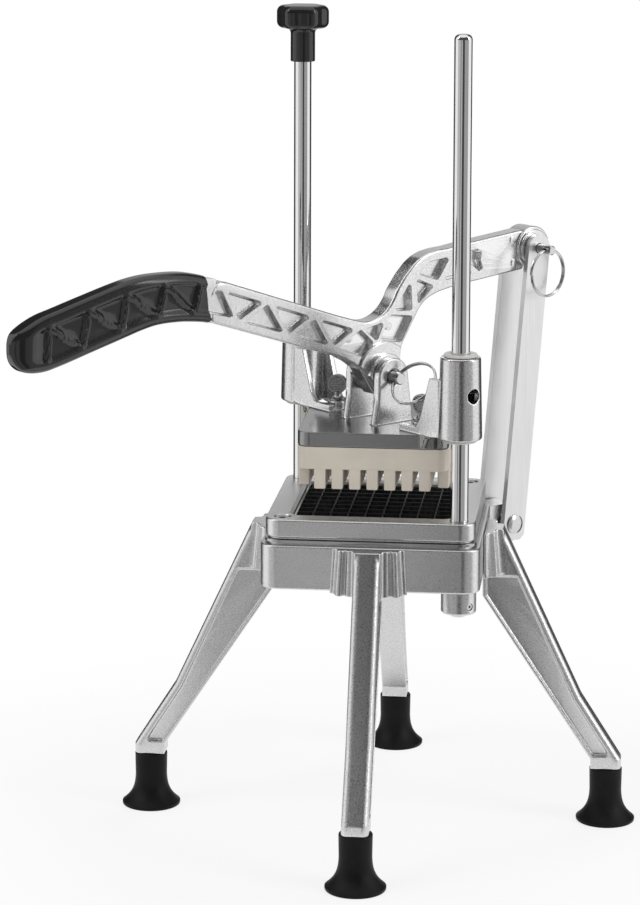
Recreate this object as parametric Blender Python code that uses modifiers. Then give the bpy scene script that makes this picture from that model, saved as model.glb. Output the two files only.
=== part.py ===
"""Push-lever french fry cutter: base on four legs, blade cartridge, pusher on two rods, lever and links.

Metres, +Z up. The base is square to X and Y. The lever works in the vertical plane through the
diagonal of the base, from the front left (the handle) to the back right (the links). Positions in
that plane are written (run, rise): run along the diagonal from the middle of the base, rise above
the ground or above the lever's own pivot. The finished model is set so that its origin is at the
middle of the bottom of its bounding box.
"""
import math

import bmesh
import bpy
from mathutils import Matrix, Vector

# Fits
GAP = 0.0003              # between pieces that seat on, or in, each other
PRESS_GAP = 0.0004        # round the blade box, in the frame and in the chute
OVERRUN = 0.002           # how far a cut runs past the face it leaves
WELD = 0.000001           # points closer than this are one

# Round shapes
ROUND_STEPS = 24
SMALL_STEPS = 12
CORNER_STEPS = 4
FLUTE_STEPS = 3
LOBE_STEPS = 6
HEX_SIDES = 6
WIRE_ROUNDNESS = 1
FLAT_ANGLE = math.radians(0.2)
EDGE_ANGLE = math.radians(40)
SHADE_ANGLE = math.radians(30)
RIGHT_ANGLE = math.pi / 2

# Cutting grid
CELL_PITCH = 0.009525     # three eighths of an inch
CELLS = 9
BLADE_THICK = 0.0006
BLADE_HEIGHT = 0.009
BLADE_SLOT_PLAY = 0.0003  # each side of a crossing blade

# Blade cartridge
BOX_INTO_CELL = 0.00086   # how much of the outer cells' pitch the box wall takes
BOX_WALL = 0.0012
BOX_CORNER = 0.0035
BOX_BELOW_RIM = 0.0043
BLADES_BELOW_FRAME = 0.003
RIM_THICK = 0.0016
RIM_INSIDE_BASE = 0.0021
RIM_CORNER = 0.0095

# Base casting
GROUND_TO_BASE = 0.142
BASE_HEIGHT = 0.025
BASE_BORDER = 0.0161      # from the chute to the outside
BASE_CORNER = 0.010
BASE_EDGE = 0.0008
BASE_DECK = 0.006
BASE_WALL = 0.0048
CHUTE_WALL = 0.0050
CHUTE_CORNER = 0.005
LEG_PAD_HALF = 0.0135
ROD_BOSS_WALL = 0.0047
ROD_BOSS_DROP = 0.0126
ROD_BOSS_EDGE = 0.0012
CORNER_BOSS_HALF = 0.0115

# Top frame
FRAME_THICK = 0.0108
FRAME_INSIDE_BASE = 0.0026
FRAME_CORNER = 0.009
FRAME_EDGE = 0.0011
FRAME_SCREW_HEAD = 0.0042
FRAME_SCREW_HEAD_HEIGHT = 0.0042
FRAME_SCREW_SHANK = 0.0025
FRAME_SCREW_DEPTH = 0.012
SCREW_RECESS = 0.0052
SOCKET_ACROSS = 0.0044
SOCKET_DEPTH = 0.0025

# Guide rods, at two opposite corners, and the knob on the far one
ROD_OUTSIDE_CHUTE = 0.0044
ROD_RADIUS = 0.0049
ROD_BELOW_BOSS = 0.0021
NEAR_ROD_TOP = 0.4436
FAR_ROD_TOP = 0.4400
ROD_DOME = 0.0030
ROD_DOME_STEPS = 3
ROD_CHAMFER = 0.0010
SET_SCREW_RADIUS = 0.0017
SET_SCREW_RISE = 0.0047
SET_SCREW_SUNK = 0.0006
KNOB_WALL = 0.0020
KNOB_STEM_LENGTH = 0.0186
KNOB_HEIGHT = 0.0130
KNOB_OVER_ROD = 0.0102
KNOB_RADIUS = 0.0147
KNOB_LOBES = 6
KNOB_LOBE_DEPTH = 0.0016
KNOB_EDGE = 0.0036
KNOB_EDGE_STEPS = 3
KNOB_EDGE_ANGLE = math.radians(50)
KNOB_NECK_SPREAD = 0.0028

# Legs and rubber feet
LEG_OUT = 0.0684          # from the base to the foot's axis
SPIGOT_RADIUS = 0.0056
SPIGOT_DEPTH = 0.021
FOOT_WALL = 0.0029
FOOT_NECK_SPREAD = 0.0010
FOOT_FLARE = 0.0075
FOOT_FLARE_HEIGHT = 0.008
FOOT_EDGE = 0.0012
FOOT_HEIGHT = 0.0307
LEG_WIDTH = 0.0146
LEG_TOE = 0.0169
LEG_TOE_RISE = 0.0055
LEG_KNEE_SHARE = 0.791    # of the run from the base to the foot's axis
LEG_KNEE_RISE = 0.072
LEG_HEAD_DEPTH = 0.0100
LEG_HEAD_DROP = 0.0008
LEG_HEAD_HALF = 0.0198
LEG_FACE_INSIDE = 0.0001
LEG_CREST = 0.0010
LEG_CREST_STEP = 0.00002  # the head's top lies this much under the beam's
LEG_HEEL_DROP = 0.014     # below the base
LEG_HEEL_UNDER = 0.0012
LEG_FLUTES = 3
LEG_FLUTE_SAG = 0.0010
LEG_BEVEL = 0.0028
LEG_BEVEL_STEPS = 2
LEG_BEVEL_SHARE = 0.6     # of a full round
LEG_FLANGE = 0.0044
LEG_BORDER = 0.0020
RECESS_CORNER_STEPS = 2
LEG_RECESS = 0.0024
LEG_SCREW_RADIUS = 0.0028
LEG_SCREW_HEAD = 0.0052
LEG_SCREW_REACH = 0.0075
LEG_SCREW_RISE = 0.013

# Pusher block
BLOCK_PLAY = 0.0010       # in the blade box
BLOCK_CORNER = 0.0060
BLOCK_THICK = 0.0121
FINGER_SHARE = 0.64       # of the cell pitch
FINGER_LENGTH = 0.0110
FINGER_LIFT = 0.0140      # over the top frame

# Pusher head: plate, clevis and guides
PLATE_LIP = 0.0003        # past the block
PLATE_CORNER = 0.0075
PLATE_THICK = 0.0078
PLATE_EDGE = 0.0013
PLATE_EDGE_STEPS = 2
CLEVIS_OFFSET = -0.0015   # the pivot's run from the middle of the plate
PIVOT_HEIGHT = 0.0256     # over the plate
EAR_THICK = 0.0050
EAR_WALL = 0.0072         # round the pin
EAR_FOOT_FRONT = 0.0113
EAR_FOOT_BACK = 0.0143
EAR_RIB_TOP_RUN = -0.0057
EAR_RIB_TOP_RISE = 0.0055
EAR_RIB_RADIUS = 0.0029
EAR_RIB_SUNK = 0.0003
BUSH_PLAY = 0.0003
BUSH_WALL = 0.0023
BUSH_FLANGE = 0.0016      # past the bush
BUSH_FLANGE_THICK = 0.0014
BUSH_LENGTH = 0.013
GUIDE_WALL = 0.0032
GUIDE_LIFT = 0.0002       # over the plate
GUIDE_HEIGHT = 0.0448
GUIDE_TAPER = 0.0004
GUIDE_RIM = 0.0007
GUIDE_HOLE = 0.0040
GUIDE_HOLE_RISE = 0.0246  # over the guide's lower end
ARM_THICK = 0.0033
ARM_INSIDE_GUIDE = 0.0007
ARM_HEIGHT = 0.0321       # over the guide's lower end
ARM_FOOT_THICK = 0.0038
ARM_WAIST_HEIGHT = 0.0093 # over the plate
ARM_TOP_INSIDE = 0.0134   # these four from the rod's axis
ARM_WAIST_INSIDE = 0.0209
ARM_HEEL_INSIDE = 0.0159
ARM_FOOT_INSIDE = 0.0379
BOSS_INSIDE = 0.0319      # from the rod's axis
BOSS_RADIUS = 0.0047
BOSS_HEIGHT = 0.0046

# Thumb screws that hold the block
THUMB_SHANK = 0.0024
THUMB_GRIP_DEPTH = 0.0075
THUMB_FLANGE = 0.0046
THUMB_FLANGE_THICK = 0.0012
THUMB_NECK = 0.0020
THUMB_NECK_HEIGHT = 0.0036
THUMB_DISC = 0.0054
THUMB_DISC_THICK = 0.0030
THUMB_DISC_SUNK = 0.0011
THUMB_TURN = math.radians(-10)

# Links and their pivot on the base
LINK_PIVOT_OUT = 0.0117   # from the base's rounded corner
LINK_PIVOT_RISE = 0.0117  # over the bottom of the base
LINK_LEAN_RUN = 0.0168    # from the lower pivot to the upper one
LINK_WIDTH = 0.0160
LINK_THICK = 0.0032
LINK_FOOT = 0.0092
LINK_FOOT_CORNER = 0.0030
LUG_WALL = 0.0030
LUG_ROOT_INSIDE = 0.0103
LUG_PLAY = 0.0015         # to the links on both sides
LUG_BORE = 0.0086
PIVOT_PIN_RADIUS = 0.0028
PIVOT_HEAD = 0.0026       # past the pin
PIVOT_HEAD_THICK = 0.0015
PIVOT_NUT_ACROSS = 0.0090
PIVOT_NUT_THICK = 0.0040
PIVOT_END = 0.0012

# Lever, in its own plane, from its pivot
REAR_RISE = 0.0607
BEAM_RUN = 0.1200
BEAM_RISE = 0.0668
LEVER_THICK = 0.0104
LEVER_WEB = 0.0024
HUB_RADIUS = 0.0123
HUB_INSIDE = 0.0007
HUB_THICK = 0.0184
HUB_STEP = 0.0035         # past the hub
HUB_STEP_DOWN = 0.0019    # below the hub's face
EYE_RADIUS = 0.0104
EYE_THICK = 0.0164
EYE_STEP = 0.0017
EYE_STEP_DOWN = 0.0015
RIM_WIDTH = 0.0050
RIB_WIDTH = 0.0024
TRUSS_INSIDE = 0.0036     # from the beam's edges to the points where its ribs meet
POCKET_CORNER = 0.0009
POCKET_CORNER_STEPS = 1
TANG_INSIDE = 0.0003      # below the beam's faces
GRIP_LENGTH = 0.1223
GRIP_HEIGHT = 0.0306
GRIP_WALL = 0.0024
GRIP_SKIN = 0.0027        # over the tang's faces
GRIP_EDGE = 0.0040
GRIP_EDGE_STEPS = 2
GRIP_EDGE_ANGLE = math.radians(60)
GRIP_OVERLAP = 0.0012
GRIP_OFF_BEAM = 0.0011

# Shares of the rear arm's run and rise, of the beam's, and of the grip's length and height
TOP_REAR_SHARES = ((0.945, 1.176), (0.56, 1.114), (0.439, 1.089), (0.372, 1.084), (0.305, 1.066),
                   (0.25, 1.032), (0.206, 0.982), (0.15, 0.885), (0.095, 0.763), (0.072, 0.685),
                   (0.044, 0.616), (0.0, 0.553), (-0.053, 0.513), (-0.115, 0.508))
TOP_BEAM_SHARES = ((-0.168, 0.4925), (-0.257, 0.542), (-1.0, 1.0))
BOTTOM_BEAM_SHARES = ((-0.984, 0.629), (-0.244, 0.192), (-0.185, 0.135), (-0.132, 0.069))
HEEL_SHARES = ((-0.047, -0.165),)
BOTTOM_REAR_SHARES = ((0.117, 0.222), (0.241, 0.568), (0.27, 0.619), (0.307, 0.657), (0.365, 0.692),
                      (0.441, 0.715), (0.562, 0.740), (0.945, 0.801))
BEAM_TRUSS_SHARES = ((-0.927, 1.0), (-0.835, 0.0), (-0.666, 1.0), (-0.552, 0.0), (-0.395, 1.0),
                     (-0.290, 0.0), (-0.143, 1.0))
END_POCKET_SHARES = ((-1.0067, 0.716), (-0.860, 0.645), (-0.929, 0.877), (-0.957, 0.880), (-1.0067, 0.804))
ARM_POCKET_SHARES = (((-0.144, 0.442), (-0.062, 0.310), (-0.131, 0.190), (-0.287, 0.302)),
                     ((-0.118, 0.437), (0.005, 0.486), (-0.040, 0.320)),
                     ((0.051, 0.540), (0.195, 0.503), (0.117, 0.278), (-0.015, 0.325)),
                     ((0.076, 0.573), (0.189, 0.560), (0.180, 0.829)),
                     ((0.220, 0.840), (0.334, 0.755), (0.228, 0.598)),
                     ((0.227, 0.886), (0.306, 0.982), (0.439, 1.005), (0.360, 0.806)),
                     ((0.400, 0.797), (0.471, 1.005), (0.598, 0.817)),
                     ((0.503, 1.021), (0.628, 1.046), (0.652, 1.017), (0.645, 0.939), (0.661, 0.868),
                      (0.644, 0.832)))
GRIP_SHARES = ((0.0, 0.415, 0.84), (0.036, 0.448, 0.843), (0.1325, 0.503, 0.86), (0.256, 0.513, 0.879),
               (0.343, 0.477, 0.922), (0.43, 0.408, 0.958), (0.603, 0.242, 0.971), (0.772, 0.075, 0.971),
               (0.855, 0.007, 0.938), (0.939, -0.046, 0.745), (0.982, -0.033, 0.48), (1.0, -0.023, 0.14))
GRIP_MOUTH_SHARE = 0.629

# Clevis pins and their rings
MID_PIN_RADIUS = 0.0034
REAR_PIN_RADIUS = 0.0027
PIN_HEAD_RADIUS = 0.0048
PIN_HEAD_THICK = 0.0016
MID_PIN_OUT = 0.0077      # past the ear
REAR_PIN_OUT = 0.0109     # past the link
PIN_CHAMFER = 0.0006
MID_RING_OUT = 0.0022
REAR_RING_OUT = 0.0070
RING_HOLE_RADIUS = 0.0015
RING_RADIUS = 0.0132
RING_WIRE = 0.00075
MID_RING_TURN = math.radians(47)
MID_RING_TIP = math.radians(-82)
REAR_RING_SWING = math.radians(4.5)

# Places and sizes that follow: across
DIAGONAL = math.radians(45)
ROOT_TWO = math.sqrt(2)
BOX_HALF_INSIDE = CELLS * CELL_PITCH / 2 - BOX_INTO_CELL
CHUTE_HALF = BOX_HALF_INSIDE + BOX_WALL + PRESS_GAP
BASE_HALF = CHUTE_HALF + BASE_BORDER
RIM_HALF = BASE_HALF - RIM_INSIDE_BASE
FRAME_HALF = BASE_HALF - FRAME_INSIDE_BASE
ROD_SPACING = CHUTE_HALF + ROD_OUTSIDE_CHUTE
ROD_RUN = ROD_SPACING * ROOT_TWO
ROD_BOSS_RADIUS = ROD_RADIUS + ROD_BOSS_WALL
KNOB_STEM_RADIUS = ROD_RADIUS + KNOB_WALL
BUSH_RADIUS = ROD_RADIUS + BUSH_PLAY + BUSH_WALL
BUSH_FLANGE_RADIUS = BUSH_RADIUS + BUSH_FLANGE
GUIDE_RADIUS = BUSH_RADIUS + GAP + GUIDE_WALL
ARM_TOP_RUN = ROD_RUN - ARM_TOP_INSIDE
ARM_WAIST_RUN = ROD_RUN - ARM_WAIST_INSIDE
ARM_HEEL_RUN = ROD_RUN - ARM_HEEL_INSIDE
ARM_FOOT_RUN = ROD_RUN - ARM_FOOT_INSIDE
BOSS_RUN = ROD_RUN - BOSS_INSIDE
BLOCK_HALF = BOX_HALF_INSIDE - BLOCK_PLAY
PLATE_HALF = BLOCK_HALF + PLATE_LIP
FOOT_CIRCLE = BASE_HALF + LEG_OUT
LEG_KNEE_RUN = BASE_HALF + LEG_OUT * LEG_KNEE_SHARE
LEG_HEAD_RUN = BASE_HALF + GAP + LEG_HEAD_DEPTH
LEG_FACE_HALF = LEG_WIDTH / 2 - LEG_FACE_INSIDE
FOOT_SLEEVE_RADIUS = SPIGOT_RADIUS + GAP + FOOT_WALL
FOOT_NECK_RADIUS = FOOT_SLEEVE_RADIUS + FOOT_NECK_SPREAD
FOOT_RADIUS = FOOT_SLEEVE_RADIUS + FOOT_FLARE
BASE_CORNER_RUN = BASE_HALF * ROOT_TWO - BASE_CORNER * (ROOT_TWO - 1)
LINK_PIVOT_RUN = BASE_CORNER_RUN + LINK_PIVOT_OUT
LUG_ROOT_RUN = BASE_CORNER_RUN - LUG_ROOT_INSIDE
LUG_RADIUS = LUG_BORE + LUG_WALL
PIVOT_HEAD_RADIUS = PIVOT_PIN_RADIUS + PIVOT_HEAD
REAR_RUN = LINK_PIVOT_RUN + LINK_LEAN_RUN - CLEVIS_OFFSET

# Places and sizes that follow: up
BASE_TOP = GROUND_TO_BASE + BASE_HEIGHT
BOSS_BOTTOM = GROUND_TO_BASE - ROD_BOSS_DROP
RIM_BOTTOM = BASE_TOP + GAP
RIM_TOP = RIM_BOTTOM + RIM_THICK
FRAME_BOTTOM = RIM_TOP + GAP
FRAME_TOP = FRAME_BOTTOM + FRAME_THICK
BLADE_TOP = FRAME_TOP - BLADES_BELOW_FRAME
BLADE_BOTTOM = BLADE_TOP - BLADE_HEIGHT
BOX_TOP = BLADE_TOP + BLADE_THICK
BOX_BOTTOM = RIM_BOTTOM - BOX_BELOW_RIM
LEG_HEAD_TOP = BASE_TOP - LEG_CREST
LEG_HEEL_RISE = GROUND_TO_BASE - LEG_HEEL_DROP
BLOCK_BOTTOM = FRAME_TOP + FINGER_LIFT
BLOCK_TOP = BLOCK_BOTTOM + FINGER_LENGTH + BLOCK_THICK
PLATE_BOTTOM = BLOCK_TOP + GAP
PLATE_TOP = PLATE_BOTTOM + PLATE_THICK
GUIDE_BOTTOM = PLATE_TOP + GUIDE_LIFT
GUIDE_TOP = GUIDE_BOTTOM + GUIDE_HEIGHT
ARM_TOP = GUIDE_BOTTOM + ARM_HEIGHT
PIVOT_RISE = PLATE_TOP + PIVOT_HEIGHT
LINK_LENGTH = math.hypot(LINK_LEAN_RUN, PIVOT_RISE + REAR_RISE - GROUND_TO_BASE - LINK_PIVOT_RISE)
LINK_LEAN = math.asin(LINK_LEAN_RUN / LINK_LENGTH)
KNOB_TOP = FAR_ROD_TOP + KNOB_OVER_ROD
KNOB_HEAD_BOTTOM = KNOB_TOP - KNOB_HEIGHT
KNOB_STEM_BOTTOM = KNOB_HEAD_BOTTOM - KNOB_STEM_LENGTH
GRIP_MOUTH_RUN = -BEAM_RUN - GRIP_OFF_BEAM
GRIP_MOUTH_RISE = BEAM_RISE * GRIP_MOUTH_SHARE

# Places and sizes that follow: along the pins
EAR_RADIUS = MID_PIN_RADIUS + EAR_WALL
EAR_GAP_HALF = HUB_THICK / 2 + GAP
EAR_OUTSIDE = EAR_GAP_HALF + EAR_THICK
HUB_STEP_RADIUS = HUB_RADIUS + HUB_STEP
HUB_STEP_THICK = HUB_THICK - 2 * HUB_STEP_DOWN
EYE_STEP_RADIUS = EYE_RADIUS + EYE_STEP
EYE_STEP_THICK = EYE_THICK - 2 * EYE_STEP_DOWN
LINK_GAP_HALF = EYE_THICK / 2 + GAP
LINK_OUTSIDE = LINK_GAP_HALF + LINK_THICK
LUG_THICK = 2 * (LINK_GAP_HALF - LUG_PLAY)
TANG_THICK = LEVER_THICK - 2 * TANG_INSIDE
GRIP_THICK = TANG_THICK + 2 * GRIP_SKIN
MID_PIN_END = EAR_OUTSIDE + MID_PIN_OUT
MID_RING_PLACE = EAR_OUTSIDE + MID_RING_OUT
REAR_PIN_END = LINK_OUTSIDE + REAR_PIN_OUT
REAR_RING_PLACE = LINK_OUTSIDE + REAR_RING_OUT


def material(name, colour, roughness, metallic):
    """A plain Principled material."""
    made = bpy.data.materials.new(name)
    made.use_nodes = True
    shader = made.node_tree.nodes["Principled BSDF"]
    shader.inputs["Base Color"].default_value = (*colour, 1)
    shader.inputs["Roughness"].default_value = roughness
    shader.inputs["Metallic"].default_value = metallic
    made.diffuse_color = (*colour, 1)
    return made


def tidy(mesh):
    """Welds the mesh and points its faces outward."""
    shape = bmesh.new()
    shape.from_mesh(mesh)
    bmesh.ops.remove_doubles(shape, verts=shape.verts, dist=WELD)
    bmesh.ops.dissolve_limit(shape, angle_limit=FLAT_ANGLE, verts=shape.verts, edges=shape.edges)
    bmesh.ops.recalc_face_normals(shape, faces=shape.faces)
    shape.to_mesh(mesh)
    shape.free()
    return mesh


def settle(thing):
    """Replaces an object's data by its evaluated mesh, without modifiers."""
    bpy.context.view_layer.update()
    evaluated = thing.evaluated_get(bpy.context.evaluated_depsgraph_get())
    mesh = bpy.data.meshes.new_from_object(evaluated)
    mesh.name = thing.name
    if thing.type == "MESH":
        thing.modifiers.clear()
        thing.data = mesh
    return mesh


def scratch(name, data):
    """An object in the scene that holds data while it is being shaped."""
    thing = bpy.data.objects.new(name, data)
    bpy.context.scene.collection.objects.link(thing)
    return thing


def slab(name, loops, thickness):
    """A flat outline, with inner loops as holes, as a closed mesh centred on its own plane."""
    curve = bpy.data.curves.new(name, "CURVE")
    curve.dimensions = "2D"
    curve.fill_mode = "BOTH"
    curve.extrude = thickness / 2
    for loop in loops:
        spline = curve.splines.new("POLY")
        spline.points.add(len(loop) - 1)
        for point, place in zip(spline.points, loop):
            point.co = (*place, 0, 1)
        spline.use_cyclic_u = True
    holder = scratch(name, curve)
    mesh = settle(holder)
    bpy.data.objects.remove(holder)
    return tidy(mesh)


def turned(name, profile, steps):
    """A closed mesh turned about Z from a profile of (radius, height), down its outer side."""
    mesh = bpy.data.meshes.new(name)
    edges = [(i, i + 1) for i in range(len(profile) - 1)]
    mesh.from_pydata([(radius, 0, height) for radius, height in profile], edges, [])
    holder = scratch(name, mesh)
    screw = holder.modifiers.new("turn", "SCREW")
    screw.steps = steps
    screw.render_steps = steps
    screw.use_merge_vertices = True
    screw.merge_threshold = WELD
    made = settle(holder)
    bpy.data.objects.remove(holder)
    return tidy(made)


def rod(name, radius, bottom, top, steps):
    """A plain cylinder about Z."""
    return turned(name, [(0, top), (radius, top), (radius, bottom), (0, bottom)], steps)


def turn(mesh, matrix):
    """The mesh after a rotation or a move."""
    mesh.transform(matrix)
    return mesh


def moved(mesh, x=0, y=0, z=0):
    """The mesh after a move."""
    return turn(mesh, Matrix.Translation((x, y, z)))


def combine(mesh, other, operation):
    """The Boolean of two meshes, exact."""
    target = scratch("target", mesh)
    tool = scratch("tool", other)
    boolean = target.modifiers.new("boolean", "BOOLEAN")
    boolean.operation = operation
    boolean.object = tool
    boolean.solver = "EXACT"
    made = settle(target)
    bpy.data.objects.remove(target)
    bpy.data.objects.remove(tool)
    return tidy(made)


def cut(mesh, *others):
    """The mesh less each of the others."""
    for other in others:
        mesh = combine(mesh, other, "DIFFERENCE")
    return mesh


def join(mesh, *others):
    """The mesh and the others as one body."""
    for other in others:
        mesh = combine(mesh, other, "UNION")
    return mesh


def eased(mesh, width, steps=1, limit=EDGE_ANGLE):
    """The mesh with its sharp edges bevelled."""
    holder = scratch("eased", mesh)
    bevel = holder.modifiers.new("bevel", "BEVEL")
    bevel.width = width
    bevel.segments = steps
    bevel.limit_method = "ANGLE"
    bevel.angle_limit = limit
    made = settle(holder)
    bpy.data.objects.remove(holder)
    return tidy(made)


def circle(radius, steps, across=0, up=0):
    """The points of a circle."""
    angles = [2 * math.pi * i / steps for i in range(steps)]
    return [(across + radius * math.cos(a), up + radius * math.sin(a)) for a in angles]


def arc(radius, start, end, steps, across=0, up=0):
    """The points of an arc, both ends included."""
    angles = [start + (end - start) * i / steps for i in range(steps + 1)]
    return [(across + radius * math.cos(a), up + radius * math.sin(a)) for a in angles]


def rounded(corners, radius, steps=CORNER_STEPS):
    """A closed outline whose corners are arcs, as far as the sides leave room."""
    points = []
    for i, corner in enumerate(corners):
        here = Vector(corner)
        back = Vector(corners[i - 1]) - here
        ahead = Vector(corners[(i + 1) % len(corners)]) - here
        half = back.angle(ahead) / 2
        reach = min(radius / math.tan(half), back.length / 2, ahead.length / 2)
        size = reach * math.tan(half)
        middle = here + (back.normalized() + ahead.normalized()).normalized() * (size / math.sin(half))
        first = here + back.normalized() * reach - middle
        last = here + ahead.normalized() * reach - middle
        sweep = first.angle_signed(last)
        start = math.atan2(first.y, first.x)
        points += arc(size, start, start - sweep, steps, middle.x, middle.y)
    return points


def square(half, radius):
    """A square outline about the origin with round corners."""
    return rounded([(-half, -half), (half, -half), (half, half), (-half, half)], radius)


def rectangle(left, bottom, right, top):
    """A rectangle's outline."""
    return [(left, bottom), (right, bottom), (right, top), (left, top)]


def inset(corners, margins):
    """A closed outline moved inward, each side by its own margin."""
    area = sum(a[0] * b[1] - b[0] * a[1] for a, b in zip(corners, corners[1:] + corners[:1]))
    side = math.copysign(1, area)
    lines = []
    for i, corner in enumerate(corners):
        here = Vector(corner)
        along = (Vector(corners[(i + 1) % len(corners)]) - here).normalized()
        inward = Vector((-along.y, along.x)) * side
        lines.append((here + inward * margins[i], along))
    points = []
    for (here, along), (back, before) in zip(lines, lines[-1:] + lines[:-1]):
        cross = before.x * along.y - before.y * along.x
        span = here - back
        reach = (span.x * along.y - span.y * along.x) / cross
        points.append(tuple(back + before * reach))
    return points


def scaled(shares, run, rise):
    """Points from shares of a run and a rise."""
    return [(x * run, y * rise) for x, y in shares]


def empty(name, parent=None, location=(0, 0, 0), rotation=(0, 0, 0)):
    """An axis or a frame that pieces hang on."""
    made = scratch(name, None)
    made.parent = parent
    made.location = location
    made.rotation_euler = rotation
    made.empty_display_size = ROD_RADIUS
    return made


def piece(name, mesh, look, parent, location=(0, 0, 0), rotation=(0, 0, 0)):
    """A finished piece: named, painted, smooth where round, and placed."""
    mesh.name = name
    mesh.materials.clear()
    mesh.materials.append(look)
    mesh.shade_smooth()
    mesh.set_sharp_from_angle(angle=SHADE_ANGLE)
    made = bpy.data.objects.new(name, mesh)
    PARTS.objects.link(made)
    made.parent = parent
    made.location = location
    made.rotation_euler = rotation
    return made


def corners(same_side):
    """Two opposite corners of the frame: the rods' or, if same_side, the screws'."""
    sign = 1 if same_side else -1
    return [(ROD_SPACING, sign * ROD_SPACING), (-ROD_SPACING, -sign * ROD_SPACING)]


def base_casting():
    """The skirt round the chute, its rod bosses and the lug for the links."""
    middle = GROUND_TO_BASE + BASE_HEIGHT / 2
    mesh = slab("base", [square(BASE_HALF, BASE_CORNER)], BASE_HEIGHT)
    mesh = moved(eased(mesh, BASE_EDGE), z=middle)
    chute = moved(slab("chute", [square(CHUTE_HALF, CHUTE_CORNER)], BASE_HEIGHT + OVERRUN), z=middle)
    mesh = cut(mesh, chute)
    inner = CHUTE_HALF + CHUTE_WALL
    outer = BASE_HALF - BASE_WALL
    reach = ROD_SPACING - CORNER_BOSS_HALF
    pockets = []
    for low, high in ((inner, outer), (-outer, -inner)):
        for left, right in ((LEG_PAD_HALF, reach), (-reach, -LEG_PAD_HALF)):
            pockets.append(rectangle(left, low, right, high))
            pockets.append(rectangle(low, left, high, right))
    depth = BASE_HEIGHT - BASE_DECK
    hollow = slab("hollow", pockets, depth + OVERRUN)
    mesh = cut(mesh, moved(hollow, z=GROUND_TO_BASE + (depth - OVERRUN) / 2))
    for x, y in corners(False):
        root = GROUND_TO_BASE + BASE_DECK
        profile = [(0, root), (ROD_BOSS_RADIUS, root), (ROD_BOSS_RADIUS, BOSS_BOTTOM + ROD_BOSS_EDGE),
                   (ROD_BOSS_RADIUS - ROD_BOSS_EDGE, BOSS_BOTTOM), (0, BOSS_BOTTOM)]
        mesh = join(mesh, moved(turned("boss", profile, ROUND_STEPS), x, y))
    mesh = join(mesh, turn(link_lug(), upright(DIAGONAL)))
    for x, y in corners(False):
        bore = rod("bore", ROD_RADIUS + GAP, BOSS_BOTTOM - OVERRUN, BASE_TOP + OVERRUN, ROUND_STEPS)
        mesh = cut(mesh, moved(bore, x, y), turn(set_screw_hole(), outward(x)))
    for x, y in corners(True):
        hole = rod("hole", FRAME_SCREW_SHANK + GAP, BASE_TOP - FRAME_SCREW_DEPTH, BASE_TOP + OVERRUN,
                   SMALL_STEPS)
        mesh = cut(mesh, moved(hole, x, y))
    for side in range(4):
        mesh = cut(mesh, turn(leg_screw_hole(), Matrix.Rotation(side * RIGHT_ANGLE, 4, "Z")))
    return mesh


def upright(angle):
    """Stands a flat outline up: its x along the given heading, its y along Z."""
    return Matrix.Rotation(angle, 4, "Z") @ Matrix.Rotation(RIGHT_ANGLE, 4, "X")


def outward(x):
    """Lays a shape on the diagonal that leads from the middle to the rod at that side."""
    return Matrix.Rotation(-DIAGONAL if x > 0 else math.pi - DIAGONAL, 4, "Z")


def along_x(mesh, height):
    """Lays a shape turned about Z along +X, at a height."""
    return moved(turn(mesh, Matrix.Rotation(RIGHT_ANGLE, 4, "Y")), z=height)


def link_lug():
    """The lug on the back right corner, bored wide for the links' pivot pin."""
    rise = GROUND_TO_BASE + LINK_PIVOT_RISE
    outline = [(LUG_ROOT_RUN, rise - LUG_RADIUS)]
    outline += arc(LUG_RADIUS, -RIGHT_ANGLE, RIGHT_ANGLE, ROUND_STEPS // 2, LINK_PIVOT_RUN, rise)
    outline.append((LUG_ROOT_RUN, rise + LUG_RADIUS))
    bore = circle(LUG_BORE, ROUND_STEPS, LINK_PIVOT_RUN, rise)
    return slab("lug", [outline, bore], LUG_THICK)


def set_screw_hole():
    """The hole across a rod boss for its set screw, before it is turned to its corner."""
    hole = rod("hole", SET_SCREW_RADIUS + GAP, ROD_RUN, ROD_RUN + ROD_BOSS_RADIUS + OVERRUN, SMALL_STEPS)
    return along_x(hole, BOSS_BOTTOM + SET_SCREW_RISE)


def set_screw():
    """A headless screw that holds a rod in its boss."""
    start = ROD_RUN + ROD_RADIUS + GAP
    end = ROD_RUN + ROD_BOSS_RADIUS - SET_SCREW_SUNK
    screw = rod("screw", SET_SCREW_RADIUS, start, end, SMALL_STEPS)
    socket = slab("socket", [circle(SET_SCREW_RADIUS / 2, HEX_SIDES)], SET_SCREW_RADIUS)
    screw = cut(screw, moved(socket, z=end))
    return along_x(screw, BOSS_BOTTOM + SET_SCREW_RISE)


def leg_screw_profile(play):
    """The countersunk leg screw, or with play its hole, from the chute outward."""
    face = CHUTE_HALF + GAP - play
    neck = face + LEG_SCREW_HEAD - LEG_SCREW_RADIUS
    end = BASE_HALF + GAP + LEG_SCREW_REACH + play
    start = face - (OVERRUN if play else 0)
    return [(0, end), (LEG_SCREW_RADIUS + play, end), (LEG_SCREW_RADIUS + play, neck + play),
            (LEG_SCREW_HEAD + play, face + play), (LEG_SCREW_HEAD + play, start), (0, start)]


def leg_screw_hole():
    """What a leg screw takes out of the base and the leg."""
    return along_x(turned("hole", leg_screw_profile(GAP), SMALL_STEPS), GROUND_TO_BASE + LEG_SCREW_RISE)


def leg_screw():
    """A countersunk screw from the chute into a leg."""
    profile = leg_screw_profile(0)
    profile = profile[:4] + profile[-1:]
    screw = turned("screw", profile, SMALL_STEPS)
    socket = slab("socket", [circle(LEG_SCREW_RADIUS, HEX_SIDES)], LEG_SCREW_RADIUS)
    screw = cut(screw, moved(socket, z=CHUTE_HALF + GAP))
    return along_x(screw, GROUND_TO_BASE + LEG_SCREW_RISE)


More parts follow.
